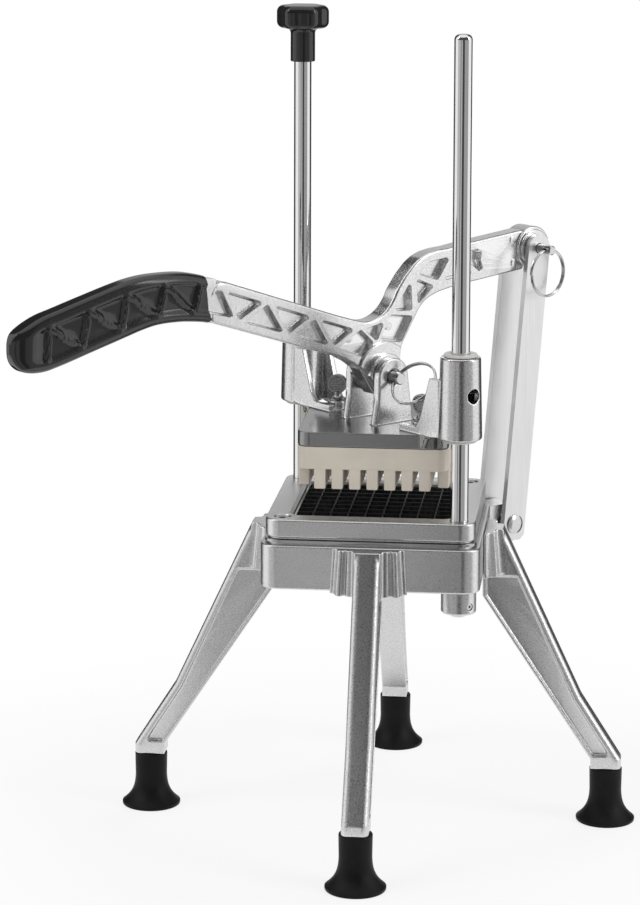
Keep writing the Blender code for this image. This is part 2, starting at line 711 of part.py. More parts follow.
def leg_outline():
    """The leg from its side: (run from the middle, rise)."""
    toe_out = FOOT_CIRCLE + LEG_TOE / 2
    toe_in = FOOT_CIRCLE - LEG_TOE / 2
    toe = FOOT_HEIGHT + GAP
    inside = BASE_HALF + GAP
    return [(inside, LEG_HEAD_TOP), (LEG_HEAD_RUN, LEG_HEAD_TOP), (LEG_KNEE_RUN, LEG_KNEE_RISE),
            (toe_out, toe + LEG_TOE_RISE), (toe_out, toe), (toe_in, toe), (toe_in, toe + LEG_TOE_RISE),
            (inside - LEG_HEEL_UNDER, LEG_HEEL_RISE),
            (inside - LEG_HEEL_UNDER, GROUND_TO_BASE - GAP), (inside, GROUND_TO_BASE - GAP)]


def leg_beam():
    """The sloping beam with its bevelled outer edges, standing along +X."""
    mesh = slab("leg", [leg_outline()], LEG_WIDTH)
    crest = [Vector((x, y, 0)) for x, y in leg_outline()[1:5]]
    shape = bmesh.new()
    shape.from_mesh(mesh)

    def on_crest(vertex):
        flat = Vector((vertex.co.x, vertex.co.y, 0))
        return min((flat - point).length for point in crest) < GAP

    edges = []
    for edge in shape.edges:
        level = abs(edge.verts[0].co.z - edge.verts[1].co.z) < GAP
        sharp = len(edge.link_faces) == 2 and edge.calc_face_angle(0) > DIAGONAL
        if level and sharp and all(on_crest(vertex) for vertex in edge.verts):
            edges.append(edge)
    bmesh.ops.bevel(shape, geom=edges, offset=LEG_BEVEL, segments=LEG_BEVEL_STEPS,
                    profile=LEG_BEVEL_SHARE, affect="EDGES")
    shape.to_mesh(mesh)
    shape.free()
    return turn(tidy(mesh), upright(0))


def leg_head():
    """The fluted head that widens from the leg's face to the base's wall."""
    start = Vector((BASE_HALF + GAP, LEG_HEAD_HALF))
    end = Vector((LEG_HEAD_RUN, LEG_FACE_HALF))
    along = (end - start).normalized()
    inward = Vector((along.y, -along.x))
    steps = LEG_FLUTES * FLUTE_STEPS
    flank = []
    for step in range(steps + 1):
        sag = LEG_FLUTE_SAG * abs(math.sin(math.pi * step / FLUTE_STEPS))
        flank.append(tuple(start.lerp(end, step / steps) + inward * sag))
    outline = flank + [(x, -y) for x, y in reversed(flank)]
    bottom = GROUND_TO_BASE - LEG_HEAD_DROP
    top = LEG_HEAD_TOP - LEG_CREST_STEP
    return moved(slab("head", [outline], top - bottom), z=(bottom + top) / 2)


def leg_recess():
    """The recess in a leg's side, from the toe up to the head."""
    outline = leg_outline()
    inner = [outline[1], outline[2], outline[3], outline[6], outline[7]]
    margins = [LEG_FLANGE, LEG_FLANGE, LEG_BORDER, LEG_BORDER, LEG_BORDER]
    top = GROUND_TO_BASE - LEG_HEAD_DROP - LEG_BORDER
    kept = [point for point in inset(inner, margins) if point[1] < top]
    crossing = []
    for first, second in ((outline[1], outline[2]), (outline[7], outline[8])):
        share = (first[1] - top) / (first[1] - second[1])
        crossing.append(first[0] + (second[0] - first[0]) * share)
    points = kept + [(crossing[0] - LEG_FLANGE, top), (crossing[1] + LEG_BORDER, top)]
    return rounded(order_round(points), LEG_BORDER, RECESS_CORNER_STEPS)


def leg():
    """A cast leg with its fluted head, side recesses and spigot, along +X."""
    mesh = join(leg_beam(), leg_head())
    for sign in (1, -1):
        pocket = turn(slab("pocket", [leg_recess()], 2 * LEG_RECESS), upright(0))
        mesh = cut(mesh, moved(pocket, y=sign * LEG_WIDTH / 2))
    toe = FOOT_HEIGHT + GAP
    spigot = rod("spigot", SPIGOT_RADIUS, toe - SPIGOT_DEPTH, toe + LEG_TOE_RISE, SMALL_STEPS)
    mesh = join(mesh, moved(spigot, x=FOOT_CIRCLE))
    return cut(mesh, leg_screw_hole())


def order_round(points):
    """The points of a convex outline, put in order round their middle."""
    middle_x = sum(x for x, _ in points) / len(points)
    middle_y = sum(y for _, y in points) / len(points)
    return sorted(points, key=lambda point: math.atan2(point[1] - middle_y, point[0] - middle_x))


def foot():
    """A rubber foot, bored for the leg's spigot."""
    bore = SPIGOT_RADIUS + GAP
    floor = FOOT_HEIGHT - SPIGOT_DEPTH
    profile = [(0, floor), (bore, floor), (bore, FOOT_HEIGHT), (FOOT_SLEEVE_RADIUS - FOOT_EDGE, FOOT_HEIGHT),
               (FOOT_SLEEVE_RADIUS, FOOT_HEIGHT - FOOT_EDGE), (FOOT_SLEEVE_RADIUS, FOOT_HEIGHT / 2),
               (FOOT_NECK_RADIUS, FOOT_FLARE_HEIGHT), (FOOT_RADIUS - FOOT_EDGE, 2 * FOOT_EDGE),
               (FOOT_RADIUS, FOOT_EDGE), (FOOT_RADIUS - FOOT_EDGE / 2, 0), (0, 0)]
    return turned("foot", profile, ROUND_STEPS)


def blade_frame():
    """The cartridge's rim plate and the box that the blades stand in."""
    hole = BOX_HALF_INSIDE + BOX_WALL / 2
    rim = slab("rim", [square(RIM_HALF, RIM_CORNER), square(hole, BOX_CORNER)], RIM_THICK)
    rim = moved(rim, z=RIM_BOTTOM + RIM_THICK / 2)
    height = BOX_TOP - BOX_BOTTOM
    outside = square(BOX_HALF_INSIDE + BOX_WALL, BOX_CORNER + BOX_WALL)
    box = slab("box", [outside, square(BOX_HALF_INSIDE, BOX_CORNER)], height)
    mesh = join(rim, moved(box, z=BOX_BOTTOM + height / 2))
    for x, y in corners(False):
        hole = rod("hole", ROD_RADIUS + GAP, RIM_BOTTOM - OVERRUN, FRAME_BOTTOM, ROUND_STEPS)
        mesh = cut(mesh, moved(hole, x, y))
    for x, y in corners(True):
        hole = rod("hole", FRAME_SCREW_SHANK + GAP, RIM_BOTTOM - OVERRUN, FRAME_BOTTOM, SMALL_STEPS)
        mesh = cut(mesh, moved(hole, x, y))
    return mesh


def blade(slots_up):
    """One blade along +X, slotted at half height where the other blades cross it."""
    half = BOX_HALF_INSIDE - GAP
    low, high = BLADE_BOTTOM, BLADE_TOP
    middle = (low + high) / 2
    slot = BLADE_THICK / 2 + BLADE_SLOT_PLAY
    open_edge = high if slots_up else low
    depth = middle + (-1 if slots_up else 1) * BLADE_SLOT_PLAY / 2
    edge = []
    for i in range(CELLS - 1):
        place = (i + 1 - CELLS / 2) * CELL_PITCH
        edge += [(place - slot, open_edge), (place - slot, depth), (place + slot, depth),
                 (place + slot, open_edge)]
    if slots_up:
        outline = [(-half, low), (half, low), (half, high)] + edge[::-1] + [(-half, high)]
    else:
        outline = [(half, high), (-half, high), (-half, low)] + edge + [(half, low)]
    return turn(slab("blade", [outline], BLADE_THICK), upright(0))


def top_frame():
    """The cast frame that clamps the cartridge, with its screw recesses."""
    mesh = slab("frame", [square(FRAME_HALF, FRAME_CORNER), square(CHUTE_HALF, CHUTE_CORNER)], FRAME_THICK)
    mesh = moved(eased(mesh, FRAME_EDGE), z=FRAME_BOTTOM + FRAME_THICK / 2)
    for x, y in corners(False):
        bore = rod("bore", ROD_RADIUS + GAP, FRAME_BOTTOM - OVERRUN, FRAME_TOP + OVERRUN, ROUND_STEPS)
        mesh = cut(mesh, moved(bore, x, y))
    for x, y in corners(True):
        seat = FRAME_TOP - SCREW_RECESS
        shank = FRAME_SCREW_SHANK + GAP
        head = FRAME_SCREW_HEAD + GAP
        profile = [(0, FRAME_TOP + OVERRUN), (head, FRAME_TOP + OVERRUN), (head, seat), (shank, seat),
                   (shank, FRAME_BOTTOM - OVERRUN), (0, FRAME_BOTTOM - OVERRUN)]
        mesh = cut(mesh, moved(turned("recess", profile, SMALL_STEPS), x, y))
    return mesh


def frame_screw():
    """A socket screw through the frame and the cartridge into the base."""
    seat = FRAME_TOP - SCREW_RECESS + GAP
    top = seat + FRAME_SCREW_HEAD_HEIGHT
    bottom = BASE_TOP - FRAME_SCREW_DEPTH + GAP
    profile = [(0, top), (FRAME_SCREW_HEAD, top), (FRAME_SCREW_HEAD, seat), (FRAME_SCREW_SHANK, seat),
               (FRAME_SCREW_SHANK, bottom), (0, bottom)]
    socket = moved(slab("socket", [circle(SOCKET_ACROSS / 2, HEX_SIDES)], 2 * SOCKET_DEPTH), z=top)
    return cut(turned("screw", profile, SMALL_STEPS), socket)


def guide_rod(top, domed):
    """A guide rod from under its boss to its top."""
    bottom = BOSS_BOTTOM - ROD_BELOW_BOSS
    if domed:
        head = arc(ROD_DOME, RIGHT_ANGLE, 0, ROD_DOME_STEPS, ROD_RADIUS - ROD_DOME, top - ROD_DOME)
    else:
        head = [(ROD_RADIUS - ROD_CHAMFER, top), (ROD_RADIUS, top - ROD_CHAMFER)]
    profile = [(0, top)] + head
    profile += [(ROD_RADIUS, bottom + ROD_CHAMFER), (ROD_RADIUS - ROD_CHAMFER, bottom), (0, bottom)]
    return turned("rod", profile, ROUND_STEPS)


def rod_knob():
    """The lobed knob, bored from below for the far rod."""
    count = KNOB_LOBES * LOBE_STEPS
    angles = [2 * math.pi * i / count for i in range(count)]
    mean = KNOB_RADIUS - KNOB_LOBE_DEPTH / 2
    outline = []
    for angle in angles:
        radius = mean + KNOB_LOBE_DEPTH / 2 * math.cos(KNOB_LOBES * angle)
        outline.append((radius * math.cos(angle), radius * math.sin(angle)))
    head = eased(slab("head", [outline], KNOB_HEIGHT), KNOB_EDGE, KNOB_EDGE_STEPS, KNOB_EDGE_ANGLE)
    head = moved(head, z=KNOB_HEAD_BOTTOM + KNOB_HEIGHT / 2)
    neck = KNOB_HEAD_BOTTOM - KNOB_NECK_SPREAD
    profile = [(0, KNOB_HEAD_BOTTOM + KNOB_NECK_SPREAD),
               (KNOB_STEM_RADIUS + KNOB_NECK_SPREAD, KNOB_HEAD_BOTTOM + KNOB_NECK_SPREAD),
               (KNOB_STEM_RADIUS + KNOB_NECK_SPREAD, KNOB_HEAD_BOTTOM), (KNOB_STEM_RADIUS, neck),
               (KNOB_STEM_RADIUS, KNOB_STEM_BOTTOM), (0, KNOB_STEM_BOTTOM)]
    mesh = join(head, turned("stem", profile, ROUND_STEPS))
    bore = rod("bore", ROD_RADIUS + GAP, KNOB_STEM_BOTTOM - OVERRUN, FAR_ROD_TOP + GAP, ROUND_STEPS)
    return cut(mesh, bore)


def clevis_ear(side):
    """One ear of the clevis, with the round rib on its front edge, flat in its own plane."""
    foot_level = PLATE_TOP - PIVOT_RISE - PLATE_EDGE
    outline = [(-EAR_FOOT_FRONT, foot_level), (EAR_FOOT_BACK, foot_level)]
    outline += arc(EAR_RADIUS, 0, math.pi, ROUND_STEPS // 2)
    ear = slab("ear", [outline], EAR_THICK)
    foot_point = Vector((-EAR_FOOT_FRONT, foot_level))
    top_point = Vector((EAR_RIB_TOP_RUN, EAR_RIB_TOP_RISE))
    length = (top_point - foot_point).length
    rib = rod("rib", EAR_RIB_RADIUS, 0, length, SMALL_STEPS)
    rib = turn(rib, Matrix.Rotation(-RIGHT_ANGLE, 4, "X"))
    lean = math.atan2(top_point.x - foot_point.x, top_point.y - foot_point.y)
    rib = turn(rib, Matrix.Rotation(-lean, 4, "Z"))
    offset = side * (EAR_RIB_RADIUS + EAR_RIB_SUNK - EAR_THICK / 2)
    return join(ear, moved(rib, foot_point.x, foot_point.y, offset))


def guide_arms():
    """The two upright arms between a guide and the plate, along +X from the middle."""
    reach = ROD_RUN - GUIDE_RADIUS / 2
    low = PLATE_TOP - PLATE_EDGE
    foot_top = PLATE_TOP + ARM_FOOT_THICK
    outline = [(ARM_FOOT_RUN, low), (ARM_HEEL_RUN, low), (reach, GUIDE_BOTTOM + GUIDE_RIM), (reach, ARM_TOP),
               (ARM_TOP_RUN, ARM_TOP), (ARM_WAIST_RUN, PLATE_TOP + ARM_WAIST_HEIGHT),
               (ARM_WAIST_RUN - ARM_FOOT_THICK, foot_top), (ARM_FOOT_RUN, foot_top)]
    arms = []
    for sign in (1, -1):
        arm = turn(slab("arm", [outline], ARM_THICK), upright(0))
        arms.append(moved(arm, y=sign * (GUIDE_RADIUS - ARM_INSIDE_GUIDE - ARM_THICK / 2)))
    return arms


def guide():
    """One guide for a rod, standing on its two arms, along +X from the middle."""
    profile = [(0, GUIDE_TOP), (GUIDE_RADIUS - GUIDE_TAPER - GUIDE_RIM, GUIDE_TOP),
               (GUIDE_RADIUS - GUIDE_TAPER, GUIDE_TOP - GUIDE_RIM),
               (GUIDE_RADIUS + GUIDE_TAPER, GUIDE_BOTTOM + GUIDE_RIM),
               (GUIDE_RADIUS + GUIDE_TAPER - GUIDE_RIM, GUIDE_BOTTOM), (0, GUIDE_BOTTOM)]
    mesh = join(moved(turned("barrel", profile, ROUND_STEPS), x=ROD_RUN), *guide_arms())
    bore = rod("bore", BUSH_RADIUS + GAP, GUIDE_BOTTOM - OVERRUN, GUIDE_TOP + OVERRUN, ROUND_STEPS)
    hole = rod("hole", GUIDE_HOLE, ROD_RUN, ROD_RUN + 2 * GUIDE_RADIUS, SMALL_STEPS)
    return cut(mesh, moved(bore, x=ROD_RUN), along_x(hole, GUIDE_BOTTOM + GUIDE_HOLE_RISE))


def pusher_head():
    """The plate with its clevis, its two guides on their arms and the thumb screws' bosses."""
    mesh = slab("plate", [square(PLATE_HALF, PLATE_CORNER)], PLATE_THICK)
    mesh = moved(eased(mesh, PLATE_EDGE, PLATE_EDGE_STEPS), z=PLATE_BOTTOM + PLATE_THICK / 2)
    place = Matrix.Translation((CLEVIS_OFFSET, 0, PIVOT_RISE))
    plane = Matrix.Rotation(DIAGONAL, 4, "Z") @ place @ upright(0)
    for sign in (1, -1):
        ear = moved(clevis_ear(sign), z=sign * (EAR_GAP_HALF + EAR_THICK / 2))
        mesh = join(mesh, turn(ear, plane))
    pin = rod("pin", MID_PIN_RADIUS + GAP, -EAR_OUTSIDE - OVERRUN, EAR_OUTSIDE + OVERRUN, SMALL_STEPS)
    mesh = cut(mesh, turn(pin, plane))
    for x, _ in corners(False):
        heading = outward(x)
        boss = rod("boss", BOSS_RADIUS, PLATE_TOP - PLATE_EDGE, PLATE_TOP + BOSS_HEIGHT, SMALL_STEPS)
        mesh = join(mesh, turn(guide(), heading), turn(moved(boss, x=BOSS_RUN), heading))
        thread = rod("thread", THUMB_SHANK + GAP, PLATE_BOTTOM - OVERRUN, PLATE_TOP + BOSS_HEIGHT + OVERRUN,
                     SMALL_STEPS)
        mesh = cut(mesh, turn(moved(thread, x=BOSS_RUN), heading))
    return mesh


def guide_bush(upper):
    """A flanged plastic bush for the rod, at the upper or the lower end of a guide."""
    bore = ROD_RADIUS + BUSH_PLAY
    seat = GUIDE_TOP + GAP if upper else GUIDE_BOTTOM - GAP
    away = 1 if upper else -1
    face = seat + away * BUSH_FLANGE_THICK
    inner = seat - away * BUSH_LENGTH
    profile = [(bore, inner), (bore, face), (BUSH_FLANGE_RADIUS, face), (BUSH_FLANGE_RADIUS, seat),
               (BUSH_RADIUS, seat), (BUSH_RADIUS, inner), (bore, inner)]
    return turned("bush", profile, ROUND_STEPS)


def pusher_block():
    """The plastic block with its grid of square fingers, none at the corners."""
    body = BLOCK_TOP - BLOCK_THICK
    mesh = slab("block", [square(BLOCK_HALF, BLOCK_CORNER)], BLOCK_TOP - BLOCK_BOTTOM)
    mesh = moved(mesh, z=(BLOCK_TOP + BLOCK_BOTTOM) / 2)
    groove = CELL_PITCH * (1 - FINGER_SHARE) / 2
    reach = BLOCK_HALF + OVERRUN
    depth = FINGER_LENGTH + OVERRUN
    grooves = []
    for i in range(CELLS - 1):
        place = (i + 1 - CELLS / 2) * CELL_PITCH
        grooves.append(rectangle(-reach, place - groove, reach, place + groove))
    for angle in (0, RIGHT_ANGLE):
        cutter = moved(slab("grooves", grooves, depth), z=body - depth / 2)
        mesh = cut(mesh, turn(cutter, Matrix.Rotation(angle, 4, "Z")))
    clear = (CELLS / 2 - 1) * CELL_PITCH
    sides = ((clear, reach), (-reach, -clear))
    missing = [rectangle(left, low, right, high) for left, right in sides for low, high in sides]
    mesh = cut(mesh, moved(slab("missing", missing, depth), z=body - depth / 2))
    for x, _ in corners(False):
        hole = rod("hole", THUMB_SHANK + GAP, BLOCK_TOP - THUMB_GRIP_DEPTH - GAP, BLOCK_TOP + OVERRUN,
                   SMALL_STEPS)
        mesh = cut(mesh, turn(moved(hole, x=BOSS_RUN), outward(x)))
    return mesh


def thumb_screw():
    """A thumb screw with its flange and its flat round grip, about Z."""
    seat = PLATE_TOP + BOSS_HEIGHT + GAP
    flange = seat + THUMB_FLANGE_THICK
    neck = flange + THUMB_NECK_HEIGHT
    middle = neck + THUMB_DISC - THUMB_DISC_SUNK
    bottom = BLOCK_TOP - THUMB_GRIP_DEPTH
    profile = [(0, neck), (THUMB_NECK, neck), (THUMB_NECK, flange), (THUMB_FLANGE, flange),
               (THUMB_FLANGE, seat), (THUMB_SHANK, seat), (THUMB_SHANK, bottom), (0, bottom)]
    disc = slab("disc", [circle(THUMB_DISC, ROUND_STEPS)], THUMB_DISC_THICK)
    disc = moved(turn(disc, upright(0)), z=middle)
    return join(turned("stem", profile, SMALL_STEPS), disc)


def lever_outline():
    """The lever from its side, without hub and eye."""
    points = scaled(TOP_REAR_SHARES, REAR_RUN, REAR_RISE)
    points += scaled(TOP_BEAM_SHARES, BEAM_RUN, BEAM_RISE)
    points += scaled(BOTTOM_BEAM_SHARES, BEAM_RUN, BEAM_RISE)
    points += scaled(HEEL_SHARES, BEAM_RUN, BEAM_RISE)
    points.append((HUB_RADIUS - HUB_INSIDE, 0))
    points += scaled(BOTTOM_REAR_SHARES, REAR_RUN, REAR_RISE)
    return points


def beam_pockets():
    """The pockets along the straight beam: one at the grip, then the triangles between its ribs."""
    top = scaled(TOP_BEAM_SHARES[1:], BEAM_RUN, BEAM_RISE)
    bottom = scaled(BOTTOM_BEAM_SHARES[:2], BEAM_RUN, BEAM_RISE)

    def level(x, line):
        (x0, y0), (x1, y1) = sorted(line)[0], sorted(line)[-1]
        return y0 + (y1 - y0) * (x - x0) / (x1 - x0)

    nodes = []
    for share, side in BEAM_TRUSS_SHARES:
        x = share * BEAM_RUN
        nodes.append((x, level(x, top) - TRUSS_INSIDE if side else level(x, bottom) + TRUSS_INSIDE))
    margins = [RIB_WIDTH / 2, RIB_WIDTH / 2, RIM_WIDTH - TRUSS_INSIDE]
    pockets = [scaled(END_POCKET_SHARES, BEAM_RUN, BEAM_RISE)]
    for first, middle, last in zip(nodes, nodes[1:], nodes[2:]):
        pockets.append(inset([first, middle, last], margins))
    return pockets


def arm_pockets():
    """The pockets round the hub, up the gooseneck and along the rear arm."""
    return [scaled(shares, REAR_RUN, REAR_RISE) for shares in ARM_POCKET_SHARES]


def grip_outline(margin=0, longer=0):
    """The grip from its side, or with a margin the tang in it, drawn longer at the mouth."""
    top = []
    bottom = []
    for run, rise, height in GRIP_SHARES:
        x = GRIP_MOUTH_RUN - run * GRIP_LENGTH + margin + (0 if top else longer)
        middle = GRIP_MOUTH_RISE + rise * GRIP_HEIGHT
        half = height * GRIP_HEIGHT / 2 - margin
        if half > GRIP_WALL / 2:
            top.append((x, middle + half))
            bottom.append((x, middle - half))
    return top + bottom[::-1]


def lever():
    """The cast lever: rim, web and truss ribs, hub, rear eye and the tang in the grip."""
    mesh = slab("lever", [lever_outline()], LEVER_THICK)
    mesh = join(mesh, slab("tang", [grip_outline(GRIP_WALL, GRIP_WALL + GRIP_OVERLAP)], TANG_THICK))
    pockets = beam_pockets() + arm_pockets()
    pockets = [rounded(pocket, POCKET_CORNER, POCKET_CORNER_STEPS) for pocket in pockets]
    depth = (LEVER_THICK - LEVER_WEB) / 2
    for sign in (1, -1):
        tool = slab("pockets", pockets, 2 * depth)
        mesh = cut(mesh, moved(tool, z=sign * LEVER_THICK / 2))
    for radius, thick, across, up in ((HUB_STEP_RADIUS, HUB_STEP_THICK, 0, 0), (HUB_RADIUS, HUB_THICK, 0, 0),
                                      (EYE_STEP_RADIUS, EYE_STEP_THICK, REAR_RUN, REAR_RISE),
                                      (EYE_RADIUS, EYE_THICK, REAR_RUN, REAR_RISE)):
        disc = rod("disc", radius, -thick / 2, thick / 2, ROUND_STEPS)
        mesh = join(mesh, moved(disc, across, up))
    for radius, across, up in ((MID_PIN_RADIUS, 0, 0), (REAR_PIN_RADIUS, REAR_RUN, REAR_RISE)):
        hole = rod("hole", radius + GAP, -HUB_THICK, HUB_THICK, SMALL_STEPS)
        mesh = cut(mesh, moved(hole, across, up))
    return mesh


def lever_grip():
    """The dipped grip, hollow for the tang and open towards the beam."""
    mesh = slab("grip", [grip_outline()], GRIP_THICK)
    mesh = eased(mesh, GRIP_EDGE, GRIP_EDGE_STEPS, GRIP_EDGE_ANGLE)
    return cut(mesh, slab("tang", [grip_outline(GRIP_WALL - GAP, OVERRUN)], TANG_THICK + 2 * GAP))


def link_bar():
    """One flat link bar, from its foot at the base pivot to its head at the lever's eye."""
    half = LINK_WIDTH / 2
    foot = -LINK_LENGTH - LINK_FOOT
    outline = arc(half, 0, math.pi, ROUND_STEPS // 2)
    outline += [(-half, foot + LINK_FOOT_CORNER), (-half + LINK_FOOT_CORNER, foot),
                (half - LINK_FOOT_CORNER, foot), (half, foot + LINK_FOOT_CORNER)]
    holes = [circle(REAR_PIN_RADIUS + GAP, SMALL_STEPS),
             circle(PIVOT_PIN_RADIUS + GAP, SMALL_STEPS, 0, -LINK_LENGTH)]
    return slab("link", [outline] + holes, LINK_THICK)


def pivot_pin():
    """The flat-headed pin through both link feet, about its own axis."""
    seat = LINK_OUTSIDE + GAP
    end = -LINK_OUTSIDE - GAP - PIVOT_NUT_THICK - PIVOT_END
    return turned("pin", [(0, seat + PIVOT_HEAD_THICK), (PIVOT_HEAD_RADIUS, seat + PIVOT_HEAD_THICK),
                          (PIVOT_HEAD_RADIUS, seat), (PIVOT_PIN_RADIUS, seat), (PIVOT_PIN_RADIUS, end),
                          (0, end)], SMALL_STEPS)


def pivot_nut():
    """The nut on the pivot pin's far end."""
    across = PIVOT_NUT_ACROSS / 2 / math.cos(math.pi / 6)
    bore = circle(PIVOT_PIN_RADIUS + GAP, SMALL_STEPS)
    nut = slab("nut", [circle(across, HEX_SIDES), bore], PIVOT_NUT_THICK)
    return moved(nut, z=-LINK_OUTSIDE - GAP - PIVOT_NUT_THICK / 2)


def clevis_pin(radius, outside, end, hole_place, hole_turn):
    """A headed pin with a ring hole near its tip, along its own axis."""
    head = -outside - GAP
    profile = [(0, end), (radius - PIN_CHAMFER, end), (radius, end - PIN_CHAMFER), (radius, head),
               (PIN_HEAD_RADIUS, head), (PIN_HEAD_RADIUS, head - PIN_HEAD_THICK), (0, head - PIN_HEAD_THICK)]
    hole = rod("hole", RING_HOLE_RADIUS, -2 * radius, 2 * radius, SMALL_STEPS)
    hole = turn(hole, Matrix.Rotation(hole_turn, 4, "Z") @ Matrix.Rotation(RIGHT_ANGLE, 4, "Y"))
    return cut(turned("pin", profile, SMALL_STEPS), moved(hole, z=hole_place))


def split_ring(name, look, parent, place, hole_turn, tip, swing):
    """A wire ring threaded through a pin's hole, hanging from it or tipped out past its end."""
    curve = bpy.data.curves.new(name, "CURVE")
    curve.dimensions = "3D"
    curve.bevel_depth = RING_WIRE
    curve.bevel_resolution = WIRE_ROUNDNESS
    spline = curve.splines.new("POLY")
    places = circle(RING_RADIUS, ROUND_STEPS, 0, -RING_RADIUS)
    spline.points.add(len(places) - 1)
    for point, (x, y) in zip(spline.points, places):
        point.co = (x, y, 0, 1)
    spline.use_cyclic_u = True
    holder = scratch(name, curve)
    mesh = tidy(settle(holder))
    bpy.data.objects.remove(holder)
    mesh = turn(mesh, Matrix.Rotation(hole_turn, 4, "Z") @ Matrix.Rotation(tip, 4, "X"))
    mesh = turn(mesh, Matrix.Rotation(swing, 4, "Y"))
    return piece(name, mesh, look, parent, (0, 0, place))


def add_base(root, looks):
    """The standing pieces: base, legs, feet, cartridge, frame, rods and knob."""
    piece("base_casting", base_casting(), looks["cast"], root)
    leg_mesh = leg()
    foot_mesh = foot()
    screw_mesh = leg_screw()
    for side, name in enumerate(("right", "back", "left", "front")):
        turn_z = (0, 0, side * RIGHT_ANGLE)
        place = Matrix.Rotation(turn_z[2], 3, "Z") @ Vector((FOOT_CIRCLE, 0, 0))
        piece("leg_" + name, leg_mesh, looks["cast"], root, rotation=turn_z)
        piece("leg_screw_" + name, screw_mesh, looks["steel"], root, rotation=turn_z)
        piece("foot_" + name, foot_mesh, looks["rubber"], root, location=place)
    piece("blade_frame", blade_frame(), looks["steel"], root)
    across = blade(False)
    upward = blade(True)
    for i in range(CELLS - 1):
        place = (i + 1 - CELLS / 2) * CELL_PITCH
        piece("blade_across_%d" % (i + 1), across, looks["blade"], root, location=(0, place, 0))
        piece("blade_along_%d" % (i + 1), upward, looks["blade"], root, location=(place, 0, 0),
              rotation=(0, 0, RIGHT_ANGLE))
    piece("top_frame", top_frame(), looks["cast"], root)
    screw = frame_screw()
    for name, (x, y) in zip(("back", "front"), corners(True)):
        piece("frame_screw_" + name, screw, looks["steel"], root, location=(x, y, 0))
    grub = set_screw()
    tops = ((NEAR_ROD_TOP, True), (FAR_ROD_TOP, False))
    for name, (x, y), (top, domed) in zip(("near", "far"), corners(False), tops):
        piece("guide_rod_" + name, guide_rod(top, domed), looks["steel"], root, location=(x, y, 0))
        piece("set_screw_" + name, grub, looks["blade"], root, rotation=outward(x).to_euler())
    x, y = corners(False)[1]
    axis = empty("knob_axis", root, (x, y, 0))
    piece("rod_knob", rod_knob(), looks["black"], axis)


def add_pusher(root, looks):
    """The sliding head, its bushes, its block and the thumb screws."""
    slide = empty("pusher_slide", root)
    piece("pusher_head", pusher_head(), looks["cast"], slide)
    for name, (x, y) in zip(("near", "far"), corners(False)):
        piece("guide_bush_upper_" + name, guide_bush(True), looks["plastic"], slide, location=(x, y, 0))
        piece("guide_bush_lower_" + name, guide_bush(False), looks["plastic"], slide, location=(x, y, 0))
        place = outward(x) @ Vector((BOSS_RUN, 0, 0))
        piece("thumb_screw_" + name, thumb_screw(), looks["steel"], slide, location=place,
              rotation=(0, 0, THUMB_TURN))
    piece("pusher_block", pusher_block(), looks["plastic"], slide)
    return slide


def add_lever(slide, looks):
    """The lever and its pins, the links and the rings, each on its own axis."""
    run = Vector((math.cos(DIAGONAL), math.sin(DIAGONAL), 0))
    tilt = (RIGHT_ANGLE, 0, DIAGONAL)
    pivot = run * CLEVIS_OFFSET + Vector((0, 0, PIVOT_RISE))
    lever_axis = empty("lever_axis", slide, pivot, tilt)
    piece("lever", lever(), looks["cast"], lever_axis)
    piece("lever_grip", lever_grip(), looks["black"], lever_axis)
    mid_axis = empty("mid_pin_axis", slide, pivot, tilt)
    pin = clevis_pin(MID_PIN_RADIUS, EAR_OUTSIDE, MID_PIN_END, MID_RING_PLACE, MID_RING_TURN)
    piece("mid_pin", pin, looks["steel"], mid_axis)
    split_ring("mid_ring", looks["steel"], mid_axis, MID_RING_PLACE, MID_RING_TURN, MID_RING_TIP, 0)
    eye = (REAR_RUN, REAR_RISE, 0)
    link_axis = empty("link_axis", lever_axis, eye)
    bar = link_bar()
    for name, sign in (("near", 1), ("far", -1)):
        offset = sign * (LINK_GAP_HALF + LINK_THICK / 2)
        piece("link_" + name, bar, looks["bar"], link_axis, location=(0, 0, offset),
              rotation=(0, 0, -LINK_LEAN))
    foot_place = (-LINK_LEAN_RUN, -LINK_LENGTH * math.cos(LINK_LEAN), 0)
    piece("link_pivot_pin", pivot_pin(), looks["steel"], link_axis, location=foot_place)
    piece("link_pivot_nut", pivot_nut(), looks["steel"], link_axis, location=foot_place)
    rear_axis = empty("rear_pin_axis", link_axis)
    pin = clevis_pin(REAR_PIN_RADIUS, LINK_OUTSIDE, REAR_PIN_END, REAR_RING_PLACE, 0)
    piece("rear_pin", pin, looks["steel"], rear_axis)
    split_ring("rear_ring", looks["steel"], rear_axis, REAR_RING_PLACE, 0, 0, REAR_RING_SWING)


def set_origin(root):
    """Moves the model so that its origin is at the middle of the bottom of its bounding box."""
    bpy.context.view_layer.update()
    places = [part.matrix_world @ vertex.co for part in PARTS.objects for vertex in part.data.vertices]
    low = [min(place[i] for place in places) for i in range(3)]
    high = [max(place[i] for place in places) for i in range(3)]
    root.location = (-(low[0] + high[0]) / 2, -(low[1] + high[1]) / 2, -low[2])
    bpy.context.view_layer.update()


